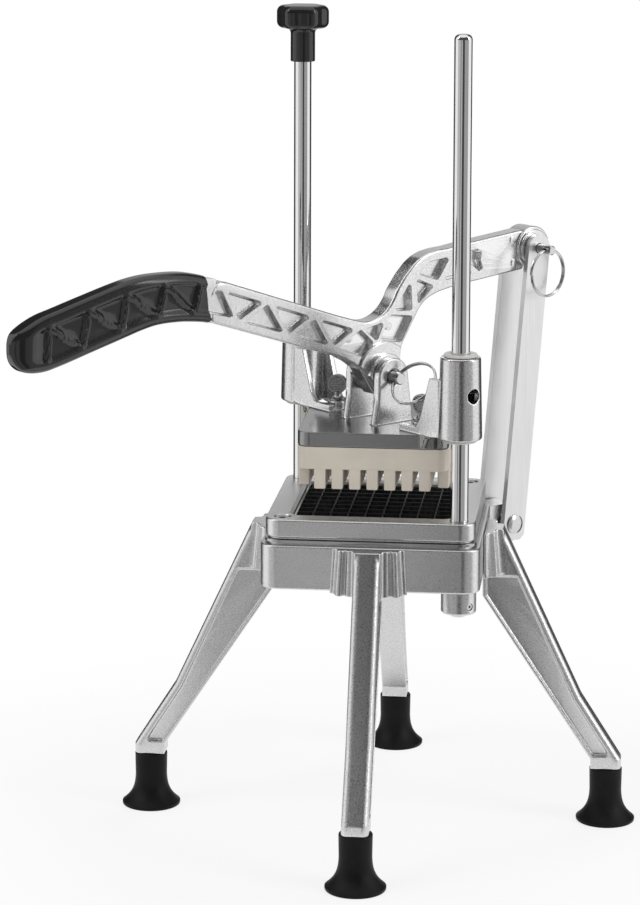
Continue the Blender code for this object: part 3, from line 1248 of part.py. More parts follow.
for old in list(bpy.data.objects):
    bpy.data.objects.remove(old)
PARTS = bpy.data.collections.new("french_fry_cutter")
bpy.context.scene.collection.children.link(PARTS)
LOOKS = {
    "cast": material("cast_aluminium", (0.55, 0.55, 0.56), 0.42, 1.0),
    "steel": material("polished_steel", (0.62, 0.62, 0.63), 0.18, 1.0),
    "bar": material("link_steel", (0.70, 0.70, 0.71), 0.35, 1.0),
    "blade": material("blade_steel", (0.10, 0.10, 0.11), 0.35, 1.0),
    "rubber": material("rubber", (0.015, 0.015, 0.016), 0.6, 0.0),
    "black": material("black_vinyl", (0.012, 0.012, 0.013), 0.25, 0.0),
    "plastic": material("white_plastic", (0.78, 0.75, 0.70), 0.45, 0.0),
}
ROOT = empty("french_fry_cutter")
add_base(ROOT, LOOKS)
add_lever(add_pusher(ROOT, LOOKS), LOOKS)
set_origin(ROOT)
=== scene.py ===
"""Looks for the push-lever french fry cutter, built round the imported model.

Lengths are in metres. Pieces are made about the middle of the base, with +Z up and the ground at
zero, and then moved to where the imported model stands. Positions in the lever's plane are written
(run, rise): run along the diagonal from front left to back right, rise above the ground or above
the lever's own pivot.
"""
import math

import bmesh
import bpy
from mathutils import Matrix, Vector


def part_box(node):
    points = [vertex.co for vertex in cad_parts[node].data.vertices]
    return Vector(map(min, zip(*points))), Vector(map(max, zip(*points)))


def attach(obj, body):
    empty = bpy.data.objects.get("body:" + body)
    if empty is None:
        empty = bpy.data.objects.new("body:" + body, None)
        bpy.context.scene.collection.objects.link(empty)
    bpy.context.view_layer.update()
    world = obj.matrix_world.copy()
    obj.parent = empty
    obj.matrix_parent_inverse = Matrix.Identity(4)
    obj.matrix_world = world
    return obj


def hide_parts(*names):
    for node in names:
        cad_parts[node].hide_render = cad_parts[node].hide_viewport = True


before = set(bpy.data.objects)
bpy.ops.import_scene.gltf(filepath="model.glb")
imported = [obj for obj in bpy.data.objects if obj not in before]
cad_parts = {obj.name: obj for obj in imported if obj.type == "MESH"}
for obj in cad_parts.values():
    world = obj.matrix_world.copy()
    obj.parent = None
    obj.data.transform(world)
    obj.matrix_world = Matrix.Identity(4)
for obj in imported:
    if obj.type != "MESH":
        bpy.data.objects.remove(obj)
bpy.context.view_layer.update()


def middle_of(node):
    """The middle of a node's box."""
    low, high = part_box(node)
    return (low + high) / 2


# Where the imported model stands
SHIFT = Vector((middle_of("top_frame").x, middle_of("top_frame").y, 0))
DIAGONAL = math.radians(45)

# Photograph
IMAGE_HEIGHT = 905
SENSOR_MILLIMETRES = 36
FOCAL_PIXELS = 3301.3
AXIS_PIXEL = 194.18
CAMERA_PLACE = Vector((0.1532, -1.7874, 0.5999))
CAMERA_AZIMUTH = math.radians(5.95)
CAMERA_ELEVATION = math.radians(7.917)
CAMERA_ROLL = math.radians(-0.171)
CAMERA_REACH = 20

# Studio
ROOM_LIGHT = 0.5
FLOOR_HALF = 6.0
FLOOR_GLOW = 0.8
FLOOR_SHADOW_FULL = 0.18
FLOOR_SHADOW_END = 0.36
FLAG_RADIUS = 0.8
FLAG_INSIDE = 0.27
FLAG_LIFT = 0.002
FLAG_MIDDLE = 0.42
FLAG_TOP = 1.5
FLAG_BACK_LOW = 0.02
# Name, first and last heading in degrees from the camera's, lowest and highest level, and grey
FLAGS = (("flag_left", -66, -30, 0.0, FLAG_MIDDLE, 0.55),
         ("flag_left_line", -30, -22, 0.0, FLAG_MIDDLE, 0.16),
         ("flag_middle_left", -22, -6, 0.0, FLAG_MIDDLE, 0.50),
         ("flag_middle", -6, 18, 0.0, FLAG_MIDDLE, 0.06),
         ("flag_right", 18, 66, 0.0, FLAG_MIDDLE, 0.38),
         ("flag_high", -70, 66, FLAG_MIDDLE, FLAG_TOP, 0.07),
         ("flag_back_right", 112, 160, 0.0, FLAG_TOP, 0.05),
         ("flag_back_left", -160, -112, 0.0, FLAG_TOP, 0.05),
         ("flag_back", 160, 200, FLAG_BACK_LOW, FLAG_TOP, 0.50))
LAMP_AIM = Vector((0, 0, 0.2))
# Name, place, sides and power
LAMPS = (("key", (-1.6, -1.0, 1.9), (1.2, 1.2), 16),
         ("fill", (1.9, -0.7, 1.2), (0.8, 1.6), 19),
         ("back", (0.6, 1.8, 1.6), (1.6, 0.8), 12))

# Fits and steps
GAP = 0.0003
OVERRUN = 0.002
WELD = 0.000001
SHARP = math.radians(35)
EASED_FROM = math.radians(40)
QUARTER = math.pi / 2
FINE = 64
MEDIUM = 40
COARSE = 20
CORNER = 8
FILLET_ANGLES = (0, math.pi / 6, math.pi / 3)
HEX = 6

# Depths of the fine relief in the materials
GRAIN_DEPTH = 0.00006
BLOTCH_DEPTH = 0.0004
LINE_DEPTH = 0.00002
BLOOM_DEPTH = 0.00003
SKIN_DEPTH = 0.00001
WAVE_DEPTH = 0.0002

# Cutting grid
CELL_PITCH = 0.009525
CELLS = 9

# Base, cartridge and top frame
BASE_BOTTOM = 0.142
BASE_TOP = 0.167
BASE_HALF = 0.0597
BASE_CORNER = 0.010
BASE_EDGE = 0.0011
SEAM = 0.0008
SEAM_DEPTH = 0.0013
BASE_DECK = 0.006
BASE_WALL = 0.0048
CHUTE_HALF = 0.0436
CHUTE_WALL = 0.0050
CHUTE_CORNER = 0.005
LEG_PAD_HALF = 0.0135
ROD_BOSS_RADIUS = 0.0096
ROD_BOSS_DROP = 0.0126
ROD_BOSS_EDGE = 0.0014
CORNER_BOSS_HALF = 0.0115
RIM_BOTTOM = 0.1673
RIM_THICK = 0.0016
RIM_HALF = 0.0576
RIM_CORNER = 0.0095
RIM_EDGE = 0.0006
BOX_BOTTOM = 0.1630
BOX_TOP = 0.1776
BOX_HALF_INSIDE = 0.0420
BOX_WALL = 0.0012
BOX_CORNER = 0.0035
FRAME_BOTTOM = 0.1692
FRAME_TOP = 0.1800
FRAME_HALF = 0.0571
FRAME_CORNER = 0.009
FRAME_EDGE = 0.0012
FRAME_LIP = 0.0016
FRAME_SCREW_HEAD = 0.0042
FRAME_SCREW_HEAD_HEIGHT = 0.0042
FRAME_SCREW_SHANK = 0.0025
FRAME_SCREW_BOTTOM = 0.1553
SCREW_RECESS = 0.0052
SCREW_EDGE = 0.0005
SOCKET_ACROSS = 0.0044
SOCKET_DEPTH = 0.0025

# Rods and knob
ROD_SPACING = 0.0480
ROD_RUN = ROD_SPACING * math.sqrt(2)
ROD_RADIUS = 0.0049
ROD_BOTTOM = 0.1273
NEAR_ROD_TOP = 0.4436
FAR_ROD_TOP = 0.4400
ROD_DOME = 0.0030
ROD_CHAMFER = 0.0010
SET_SCREW_RADIUS = 0.0017
SET_SCREW_LEVEL = 0.1341
SET_SCREW_SUNK = 0.0006
KNOB_STEM_RADIUS = 0.0069
KNOB_STEM_BOTTOM = 0.4186
KNOB_HEAD_BOTTOM = 0.4372
KNOB_TOP = 0.4502
KNOB_RADIUS = 0.0147
KNOB_LOBES = 6
KNOB_LOBE_DEPTH = 0.0016
KNOB_EDGE = 0.0038
KNOB_NECK_SPREAD = 0.0028
KNOB_UNDER_SHARES = (0.28, 0.62)
KNOB_CROWN_SHARES = (0.68, 0.45, 0.2)
KNOB_ROUND_SHARE = 0.3
KNOB_LOBED_SHARE = 0.8

# Legs and feet
FOOT_CIRCLE = 0.1281
FOOT_RADIUS = 0.0163
FOOT_SLEEVE_RADIUS = 0.0088
FOOT_HEIGHT = 0.0307
FOOT_EDGE = 0.0010
FOOT_NECK_SHARE = 0.62
FOOT_CONE_SHARE = 0.10
FOOT_FLARE_POWER = 3.2
FOOT_STEPS = 14
SPIGOT_RADIUS = 0.0056
SPIGOT_DEPTH = 0.021
LEG_WIDTH = 0.0146
LEG_TOE = 0.0169
LEG_TOE_RISE = 0.0055
LEG_KNEE_RUN = 0.1138
LEG_KNEE_RISE = 0.072
LEG_HEAD_DEPTH = 0.0100
LEG_HEAD_DROP = 0.0008
LEG_HEAD_HALF = 0.0196
LEG_HEAD_LEAN = 0.0034
LEG_HEAD_FLARE = 0.0015
LEG_HEAD_STILL_SHARE = 0.35   # of its half width: nearer the leg it doesn't widen downward
LEG_CREST = 0.0010
LEG_HEEL_RISE = 0.128
LEG_HEEL_UNDER = 0.0012
LEG_BEVEL = 0.0037
LEG_FLANGE = 0.0044
LEG_BORDER = 0.0020
LEG_RECESS = 0.0026
LEG_SCREW_RADIUS = 0.0028
LEG_SCREW_HEAD = 0.0052
LEG_SCREW_REACH = 0.0075
LEG_SCREW_RISE = 0.155
LEG_CELL = 0.00045
LEG_KEEP_SHARE = 0.2

# Pusher head
PLATE_HALF = 0.0413
PLATE_CORNER = 0.0075
PLATE_BOTTOM = 0.2174
PLATE_THICK = 0.0078
PLATE_EDGE = 0.0013
PLATE_TOP = PLATE_BOTTOM + PLATE_THICK
CLEVIS_OFFSET = -0.0015
PIVOT_RISE = 0.2508
EAR_GAP_HALF = 0.0095
EAR_THICK = 0.0050
EAR_OUTSIDE = EAR_GAP_HALF + EAR_THICK
EAR_RADIUS = 0.0106
EAR_FOOT_FRONT = 0.0113
EAR_FOOT_BACK = 0.0143
EAR_RIB_TOP_RUN = -0.0057
EAR_RIB_TOP_RISE = 0.0055
EAR_RIB_RADIUS = 0.0025
EAR_RIB_FOOT = 0.0033
EAR_EDGE = 0.0009
PIN_RECESS_RADIUS = 0.0047
PIN_RECESS_DEPTH = 0.0011
GUIDE_RADIUS = 0.0115
GUIDE_BOTTOM = 0.2254
GUIDE_TOP = 0.2702
GUIDE_TAPER = 0.0005
GUIDE_RIM = 0.0007
GUIDE_HOLE = 0.0040
GUIDE_HOLE_RISE = 0.2500
ARM_THICK = 0.0033
ARM_INSIDE_GUIDE = 0.0007
ARM_TOP = 0.2575
ARM_TOP_RUN = 0.0545
ARM_WAIST_RUN = 0.0470
ARM_WAIST_RISE = 0.2345
ARM_FOOT_RUN = 0.0300
ARM_HEEL_RUN = 0.0495
ARM_TONGUE = 0.0012
ARM_FOOT_THICK = 0.0038
BUSH_FLANGE_RADIUS = 0.0091
BUSH_FLANGE_THICK = 0.0014
BUSH_RADIUS = 0.0075
BUSH_LENGTH = 0.013
BUSH_PLAY = 0.0003
BOSS_RUN = 0.0360
BOSS_RADIUS = 0.0047
BOSS_HEIGHT = 0.0046
HEAD_CELL = 0.00042
HEAD_KEEP_SHARE = 0.25

# Pusher block and thumb screws
BLOCK_HALF = 0.0410
BLOCK_CORNER = 0.0060
BLOCK_THICK = 0.0121
FINGER_SHARE = 0.64
FINGER_LENGTH = 0.0110
FINGER_EDGE = 0.0004
FINGER_DRAFT_SHARE = 0.012
THUMB_SHANK = 0.0024
THUMB_GRIP_DEPTH = 0.0075
THUMB_FLANGE = 0.0046
THUMB_FLANGE_THICK = 0.0012
THUMB_NECK = 0.0020
THUMB_NECK_HEIGHT = 0.0036
THUMB_DISC = 0.0054
THUMB_DISC_THICK = 0.0030
THUMB_DISC_SUNK = 0.0011
THUMB_RIM = 0.0009
THUMB_WELL = 0.0006
THUMB_RIBS = 7
THUMB_RIB_SHARE = 0.36
THUMB_TURNS = (math.radians(-35), math.radians(-10))

# Lever
REAR_RUN = 0.1103
REAR_RISE = 0.0607
BEAM_RUN = 0.1200
BEAM_RISE = 0.0668
LEVER_THICK = 0.0104
LEVER_WEB = 0.0024
LEVER_EDGE = 0.0013
LEVER_BEND = 0.016
HEEL_BEND = 0.0016
HUB_RADIUS = 0.0123
HUB_THICK = 0.0184
HUB_INSIDE = 0.0007
HUB_INSET = 0.0012
HUB_EDGE = 0.0008
HUB_PAD_RADIUS = 0.0186
HUB_PAD_THICK = 0.0132
EYE_RADIUS = 0.0104
EYE_THICK = 0.0164
EYE_STEP_RADIUS = 0.0121
EYE_STEP_THICK = 0.0134
RIM_WIDTH = 0.0050
RIB_WIDTH = 0.0024
TRUSS_INSIDE = 0.0036
POCKET_CORNER = 0.0012
POCKET_DRAFT = 0.0006
POCKET_FLARE = 0.0005
POCKET_FILLET = 0.0006
TANG_THICK = 0.0098
EJECTOR_RADIUS = 0.0024
EJECTOR_HEIGHT = 0.0006
EJECTOR_FLAT_SHARE = 0.5
GRIP_LENGTH = 0.1223
GRIP_HEIGHT = 0.0306
GRIP_WALL = 0.0024
GRIP_THICK = 0.0152
GRIP_OVERLAP = 0.0012
GRIP_MOUTH_RUN = -0.1211
GRIP_MOUTH_RISE = 0.0420
GRIP_STATIONS = 150
GRIP_AROUND = 96
GRIP_POWER = 4.2
GRIP_SIDE_POWER = 2.9
GRIP_TIP_POWER = 2.4
GRIP_TIP_LEAST_SHARE = 0.02
GRIP_CROWD_POWER = 1.35
GRIP_FACE_GAIN = 1.2
GRIP_TRUSS_SHARE = 0.30
GRIP_BORDER_SHARES = (0.70, 0.42)   # between these the dimples fade toward the edges
GRIP_END_SHARES = (0.93, 0.85)      # and toward the tip
GRIP_TIP_SHARE = 0.88
GRIP_DIMPLE = 0.0021
GRIP_RIDGE = 0.0026
GRIP_LEAN = 0.11
GRIP_LEAN_SHARE = 0.1

# Shares of a leg head's depth and half width, from the base's wall to the leg's side
LEG_HEAD_SHARES = ((0.0, 1.0), (0.13, 0.985), (0.16, 0.935), (0.13, 0.90), (0.30, 0.84), (0.54, 0.80),
                   (0.58, 0.74), (0.56, 0.68), (0.44, 0.645), (0.44, 0.585), (0.56, 0.55), (0.60, 0.49),
                   (0.60, 0.43), (0.70, 0.385), (1.0, 0.36))

# Shares of the rear arm's run and rise, of the beam's, and of the grip's length and height
TOP_REAR_SHARES = ((0.945, 1.176), (0.56, 1.114), (0.439, 1.089), (0.372, 1.084), (0.305, 1.066),
                   (0.25, 1.032), (0.206, 0.982), (0.15, 0.885), (0.095, 0.763), (0.072, 0.685),
                   (0.044, 0.616), (0.0, 0.553), (-0.053, 0.513), (-0.115, 0.508))
TOP_BEAM_SHARES = ((-0.168, 0.4925), (-0.257, 0.542), (-1.0, 1.0))
BOTTOM_BEAM_SHARES = ((-0.984, 0.629), (-0.244, 0.192), (-0.185, 0.135), (-0.132, 0.069))
HEEL_SHARES = ((-0.047, -0.165),)
BOTTOM_REAR_SHARES = ((0.117, 0.222), (0.241, 0.568), (0.27, 0.619), (0.307, 0.657), (0.365, 0.692),
                      (0.441, 0.715), (0.562, 0.740), (0.945, 0.801))
BEAM_TRUSS_SHARES = ((-0.927, 1.0), (-0.835, 0.0), (-0.666, 1.0), (-0.552, 0.0), (-0.395, 1.0),
                     (-0.290, 0.0), (-0.143, 1.0))
END_POCKET_SHARES = ((-1.0067, 0.716), (-0.860, 0.645), (-0.929, 0.877), (-0.957, 0.880), (-1.0067, 0.804))
ARM_POCKET_SHARES = (((-0.144, 0.442), (-0.062, 0.310), (-0.131, 0.190), (-0.287, 0.302)),
                     ((-0.118, 0.437), (0.005, 0.486), (-0.040, 0.320)),
                     ((0.051, 0.540), (0.195, 0.503), (0.117, 0.278), (-0.015, 0.325)),
                     ((0.076, 0.573), (0.189, 0.560), (0.180, 0.829)),
                     ((0.220, 0.840), (0.334, 0.755), (0.228, 0.598)),
                     ((0.227, 0.886), (0.306, 0.982), (0.439, 1.005), (0.360, 0.806)),
                     ((0.400, 0.797), (0.471, 1.005), (0.598, 0.817)),
                     ((0.503, 1.021), (0.628, 1.046), (0.652, 1.017), (0.645, 0.939), (0.661, 0.868),
                      (0.644, 0.832)))
EJECTOR_SHARES = ((-0.902, 0.817), (-0.606, 0.639), (-0.180, 0.331), (0.061, 0.428), (0.868, 1.089),
                  (0.877, 0.870))
GRIP_SHARES = ((0.0, 0.415, 0.84), (0.036, 0.448, 0.843), (0.1325, 0.503, 0.86), (0.256, 0.513, 0.879),
               (0.343, 0.477, 0.922), (0.43, 0.408, 0.958), (0.603, 0.242, 0.971), (0.772, 0.075, 0.971),
               (0.855, 0.007, 0.938), (0.939, -0.046, 0.745), (0.982, -0.033, 0.48), (1.0, -0.023, 0.14))
GRIP_TRUSS_SHARES = ((0.04, 1), (0.083, 0), (0.231, 1), (0.269, 0), (0.43, 1), (0.462, 0), (0.626, 1),
                     (0.663, 0), (0.828, 1), (0.84, 0))

# Links
LINK_PIVOT_RUN = 0.0920
LINK_PIVOT_RISE = 0.1537
LINK_WIDTH = 0.0160
LINK_THICK = 0.0032
LINK_GAP_HALF = 0.0085
LINK_OUTSIDE = LINK_GAP_HALF + LINK_THICK
LINK_FOOT = 0.0092
LINK_FOOT_CORNER = 0.0030
LINK_EDGE = 0.0004
LINK_SPAN_RUN = CLEVIS_OFFSET + REAR_RUN - LINK_PIVOT_RUN
LINK_SPAN_RISE = PIVOT_RISE + REAR_RISE - LINK_PIVOT_RISE
LINK_LENGTH = math.hypot(LINK_SPAN_RUN, LINK_SPAN_RISE)
LINK_LEAN = math.atan2(LINK_SPAN_RUN, LINK_SPAN_RISE)
LUG_RADIUS = 0.0116
LUG_ROOT_RUN = 0.0700
LUG_THICK = 0.0140
LUG_BORE = 0.0086
LUG_EDGE = 0.0008
PIVOT_PIN_RADIUS = 0.0028
PIVOT_HEAD_RADIUS = 0.0054
PIVOT_HEAD_THICK = 0.0015
PIVOT_HEAD_SHARES = ((0.5, 0.97), (0.8, 0.8), (1.0, 0.4))
PIVOT_NUT_ACROSS = 0.0090
PIVOT_NUT_THICK = 0.0040
PIVOT_END = 0.0012

# Clevis pins and rings
MID_PIN_RADIUS = 0.0034
REAR_PIN_RADIUS = 0.0027
PIN_HEAD_RADIUS = 0.0048
PIN_HEAD_THICK = 0.0016
MID_PIN_END = 0.0206
REAR_PIN_END = 0.0226
PIN_CHAMFER = 0.0006
MID_RING_PLACE = 0.0167
REAR_RING_PLACE = 0.0187
RING_HOLE_RADIUS = 0.0015
RING_RADIUS = 0.0132
RING_WIRE = 0.00062
RING_COIL_PITCH = 0.00128
RING_CROSSING = 6
MID_RING_TURN = math.radians(47)
MID_RING_TIP = math.radians(-82)
REAR_RING_SWING = math.radians(4.5)


def settle(thing):
    """Replaces an object's data by its evaluated mesh, without modifiers."""
    bpy.context.view_layer.update()
    evaluated = thing.evaluated_get(bpy.context.evaluated_depsgraph_get())
    mesh = bpy.data.meshes.new_from_object(evaluated)
    bpy.data.objects.remove(thing)
    return mesh


def placed(name, data):
    """A new object in the scene."""
    thing = bpy.data.objects.new(name, data)
    bpy.context.scene.collection.objects.link(thing)
    return thing


def scratch(data):
    """An object that holds data while it is being shaped."""
    return placed("scratch", data)


def new_mesh(points, edges, faces):
    """A mesh from its parts."""
    mesh = bpy.data.meshes.new("mesh")
    mesh.from_pydata(points, edges, faces)
    return mesh


def tidy(mesh):
    """Welds the mesh and points its faces outward."""
    shape = bmesh.new()
    shape.from_mesh(mesh)
    bmesh.ops.remove_doubles(shape, verts=shape.verts, dist=WELD)
    bmesh.ops.recalc_face_normals(shape, faces=shape.faces)
    shape.to_mesh(mesh)
    shape.free()
    return mesh


def slab(loops, thickness, edge=0.0):
    """A flat outline, with inner loops as holes, as a closed mesh centred on its own plane.

    Its rims are rounded by the edge, if there is one.
    """
    curve = bpy.data.curves.new("slab", "CURVE")
    curve.dimensions = "2D"
    curve.fill_mode = "BOTH"
    curve.extrude = thickness / 2 - edge
    curve.bevel_depth = edge
    curve.bevel_resolution = 2
    curve.offset = -edge
    for loop in loops:
        spline = curve.splines.new("POLY")
        spline.points.add(len(loop) - 1)
        for point, place in zip(spline.points, loop):
            point.co = (*place, 0, 1)
        spline.use_cyclic_u = True
    return tidy(settle(scratch(curve)))


def plate(loops, low, high, edge=0.0):
    """A slab between two heights."""
    return moved(slab(loops, high - low, edge), z=(high + low) / 2)


def turned(profile, steps=FINE):
    """A closed mesh turned about Z from a profile of (radius, height), down its outer side."""
    edges = [(i, i + 1) for i in range(len(profile) - 1)]
    holder = scratch(new_mesh([(radius, 0, height) for radius, height in profile], edges, []))
    screw = holder.modifiers.new("turn", "SCREW")
    screw.steps = steps
    screw.render_steps = steps
    screw.use_merge_vertices = True
    screw.merge_threshold = WELD
    return tidy(settle(holder))


def rod(radius, bottom, top, steps=MEDIUM):
    """A plain cylinder about Z."""
    return turned([(0, top), (radius, top), (radius, bottom), (0, bottom)], steps)


def puck(radius, thick, edge):
    """A disc about Z with round rims, centred on its own plane."""
    half = thick / 2
    return turned([(0, half)] + top_rim(radius, half, edge) + bottom_rim(radius, -half, edge) + [(0, -half)])


def hex_socket(radius, depth, level):
    """What a hexagon socket takes out of a face at a height."""
    return plate([circle(radius, HEX)], level - depth, level + depth)


def rotation(angle, axis="Z"):
    """The turn by an angle about an axis."""
    return Matrix.Rotation(angle, 4, axis)


def turn(mesh, matrix):
    """The mesh after a rotation or a move."""
    mesh.transform(matrix)
    return mesh


def moved(mesh, x=0.0, y=0.0, z=0.0):
    """The mesh after a move."""
    return turn(mesh, Matrix.Translation((x, y, z)))


def combine(mesh, other, operation):
    """The Boolean of two meshes, exact."""
    target = scratch(mesh)
    tool = scratch(other)
    boolean = target.modifiers.new("boolean", "BOOLEAN")
    boolean.operation = operation
    boolean.object = tool
    boolean.solver = "EXACT"
    made = settle(target)
    bpy.data.objects.remove(tool)
    return tidy(made)


def cut(mesh, *others):
    """The mesh less each of the others."""
    for other in others:
        mesh = combine(mesh, other, "DIFFERENCE")
    return mesh


def join(mesh, *others):
    """The mesh and the others as one body."""
    for other in others:
        mesh = combine(mesh, other, "UNION")
    return mesh


def heap(*meshes):
    """Several meshes in one, as they are."""
    shape = bmesh.new()
    for mesh in meshes:
        shape.from_mesh(mesh)
    made = bpy.data.meshes.new("heap")
    shape.to_mesh(made)
    shape.free()
    return made


def eased(mesh, width, steps=3):
    """The mesh with its sharp edges rounded."""
    holder = scratch(mesh)
    bevel = holder.modifiers.new("bevel", "BEVEL")
    bevel.width = width
    bevel.segments = steps
    bevel.limit_method = "ANGLE"
    bevel.angle_limit = EASED_FROM
    return tidy(settle(holder))


def cast(mesh, cell, rounds, keep):
    """The mesh as a casting: all its edges and inner corners softened by about a cell."""
    holder = scratch(mesh)
    remesh = holder.modifiers.new("remesh", "REMESH")
    remesh.mode = "VOXEL"
    remesh.voxel_size = cell
    remesh.use_smooth_shade = True
    smooth = holder.modifiers.new("smooth", "SMOOTH")
    smooth.factor = 0.5
    smooth.iterations = rounds
    thin = holder.modifiers.new("thin", "DECIMATE")
    thin.ratio = keep
    return settle(holder)


def circle(radius, steps, across=0, up=0):
    """The points of a circle."""
    angles = [2 * math.pi * i / steps for i in range(steps)]
    return [(across + radius * math.cos(a), up + radius * math.sin(a)) for a in angles]


def arc(radius, start, end, steps, across=0, up=0):
    """The points of an arc, both ends included."""
    angles = [start + (end - start) * i / steps for i in range(steps + 1)]
    return [(across + radius * math.cos(a), up + radius * math.sin(a)) for a in angles]


def top_rim(radius, level, edge, steps=4):
    """The profile of a round rim below a top face."""
    return arc(edge, QUARTER, 0, steps, radius - edge, level - edge)


def bottom_rim(radius, level, edge, steps=4):
    """The profile of a round rim above a bottom face."""
    return arc(edge, 0, -QUARTER, steps, radius - edge, level + edge)


def rounded(corners, radius, steps=CORNER):
    """A closed outline whose corners are arcs, as far as the sides leave room.

    The radius is one for all corners, or a list with one for each.
    """
    radii = radius if isinstance(radius, list) else [radius] * len(corners)
    points = []
    for i, corner in enumerate(corners):
        here = Vector(corner)
        back = Vector(corners[i - 1]) - here
        ahead = Vector(corners[(i + 1) % len(corners)]) - here
        half = back.angle(ahead) / 2
        reach = min(radii[i] / math.tan(half), back.length / 2, ahead.length / 2)
        size = reach * math.tan(half)
        middle = here + (back.normalized() + ahead.normalized()).normalized() * (size / math.sin(half))
        first = here + back.normalized() * reach - middle
        last = here + ahead.normalized() * reach - middle
        sweep = first.angle_signed(last)
        start = math.atan2(first.y, first.x)
        points += arc(size, start, start - sweep, steps, middle.x, middle.y)
    return points


def square(half, radius):
    """A square outline about the origin with round corners."""
    return rounded([(-half, -half), (half, -half), (half, half), (-half, half)], radius)


def rectangle(left, bottom, right, top):
    """A rectangle's outline."""
    return [(left, bottom), (right, bottom), (right, top), (left, top)]


def inset(corners, margins):
    """A closed outline moved inward, each side by its own margin."""
    area = sum(a[0] * b[1] - b[0] * a[1] for a, b in zip(corners, corners[1:] + corners[:1]))
    side = math.copysign(1, area)
    lines = []
    for i, corner in enumerate(corners):
        here = Vector(corner)
        along = (Vector(corners[(i + 1) % len(corners)]) - here).normalized()
        inward = Vector((-along.y, along.x)) * side
        lines.append((here + inward * margins[i], along))
    points = []
    for (here, along), (back, before) in zip(lines, lines[-1:] + lines[:-1]):
        cross = before.x * along.y - before.y * along.x
        span = here - back
        reach = (span.x * along.y - span.y * along.x) / cross
        points.append(tuple(back + before * reach))
    return points


def fade(value, start, end):
    """How far a value has come from the start to the end, from 0 to 1."""
    return max(0, min(1, (value - start) / (end - start)))


def scaled(shares, run, rise):
    """Points from shares of a run and a rise."""
    return [(x * run, y * rise) for x, y in shares]


def shell(rings):
    """A closed mesh through rings that all have the same number of points, with flat ends."""
    count = len(rings[0])
    last = len(rings) - 1
    faces = [tuple(range(count)), tuple(range(last * count, (last + 1) * count))]
    for ring in range(last):
        for i in range(count):
            a, b = ring * count + i, ring * count + (i + 1) % count
            faces.append((a, b, b + count, a + count))
    return tidy(new_mesh([point for ring in rings for point in ring], [], faces))


def stack(levels):
    """A closed mesh through flat outlines: (height, outline) for each."""
    return shell([[(x, y, height) for x, y in outline] for height, outline in levels])


def loft(lower, upper, bottom, top):
    """A closed mesh between two outlines with the same number of points, at two heights."""
    return stack([(bottom, lower), (top, upper)])


def upright(angle):
    """Stands a flat outline up: its x along the given heading, its y along Z."""
    return rotation(angle) @ rotation(QUARTER, "X")


def outward(x):
    """Lays a shape on the diagonal that leads from the middle to the rod at that side."""
    return rotation(-DIAGONAL if x > 0 else math.pi - DIAGONAL)


def along_x(mesh, height):
    """Lays a shape turned about Z along +X, at a height."""
    return moved(turn(mesh, rotation(QUARTER, "Y")), z=height)


def corners(same_side):
    """Two opposite corners of the frame: the rods' or, if same_side, the screws'."""
    sign = 1 if same_side else -1
    return [(ROD_SPACING, sign * ROD_SPACING), (-ROD_SPACING, -sign * ROD_SPACING)]


def drill(mesh, same_side, radius, low, high, steps=MEDIUM):
    """The mesh with a clear hole about Z at two opposite corners."""
    for x, y in corners(same_side):
        mesh = cut(mesh, moved(rod(radius + GAP, low, high, steps), x, y))
    return mesh


def at_boss(mesh, x):
    """A shape about Z, moved to the thumb screw's place on the side of x."""
    return turn(moved(mesh, x=BOSS_RUN), outward(x))


def lever_plane():
    """From the lever's own plane, about its pivot, to where it stands."""
    return rotation(DIAGONAL) @ Matrix.Translation((CLEVIS_OFFSET, 0, PIVOT_RISE)) @ upright(0)


def piece(name, mesh, look, body, node, matrix=None, smooth_all=False):
    """A finished piece: placed, painted, smooth where round, and riding on its body."""
    if matrix is not None:
        mesh.transform(matrix)
    mesh.transform(Matrix.Translation(SHIFT))
    mesh.name = name
    mesh.materials.clear()
    mesh.materials.append(look)
    mesh.shade_smooth()
    if not smooth_all:
        mesh.set_sharp_from_angle(angle=SHARP)
    made = placed(name, mesh)
    if not smooth_all:
        made.modifiers.new("weighted", "WEIGHTED_NORMAL").keep_sharp = True
    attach(made, body)
    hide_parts(node)
    return made


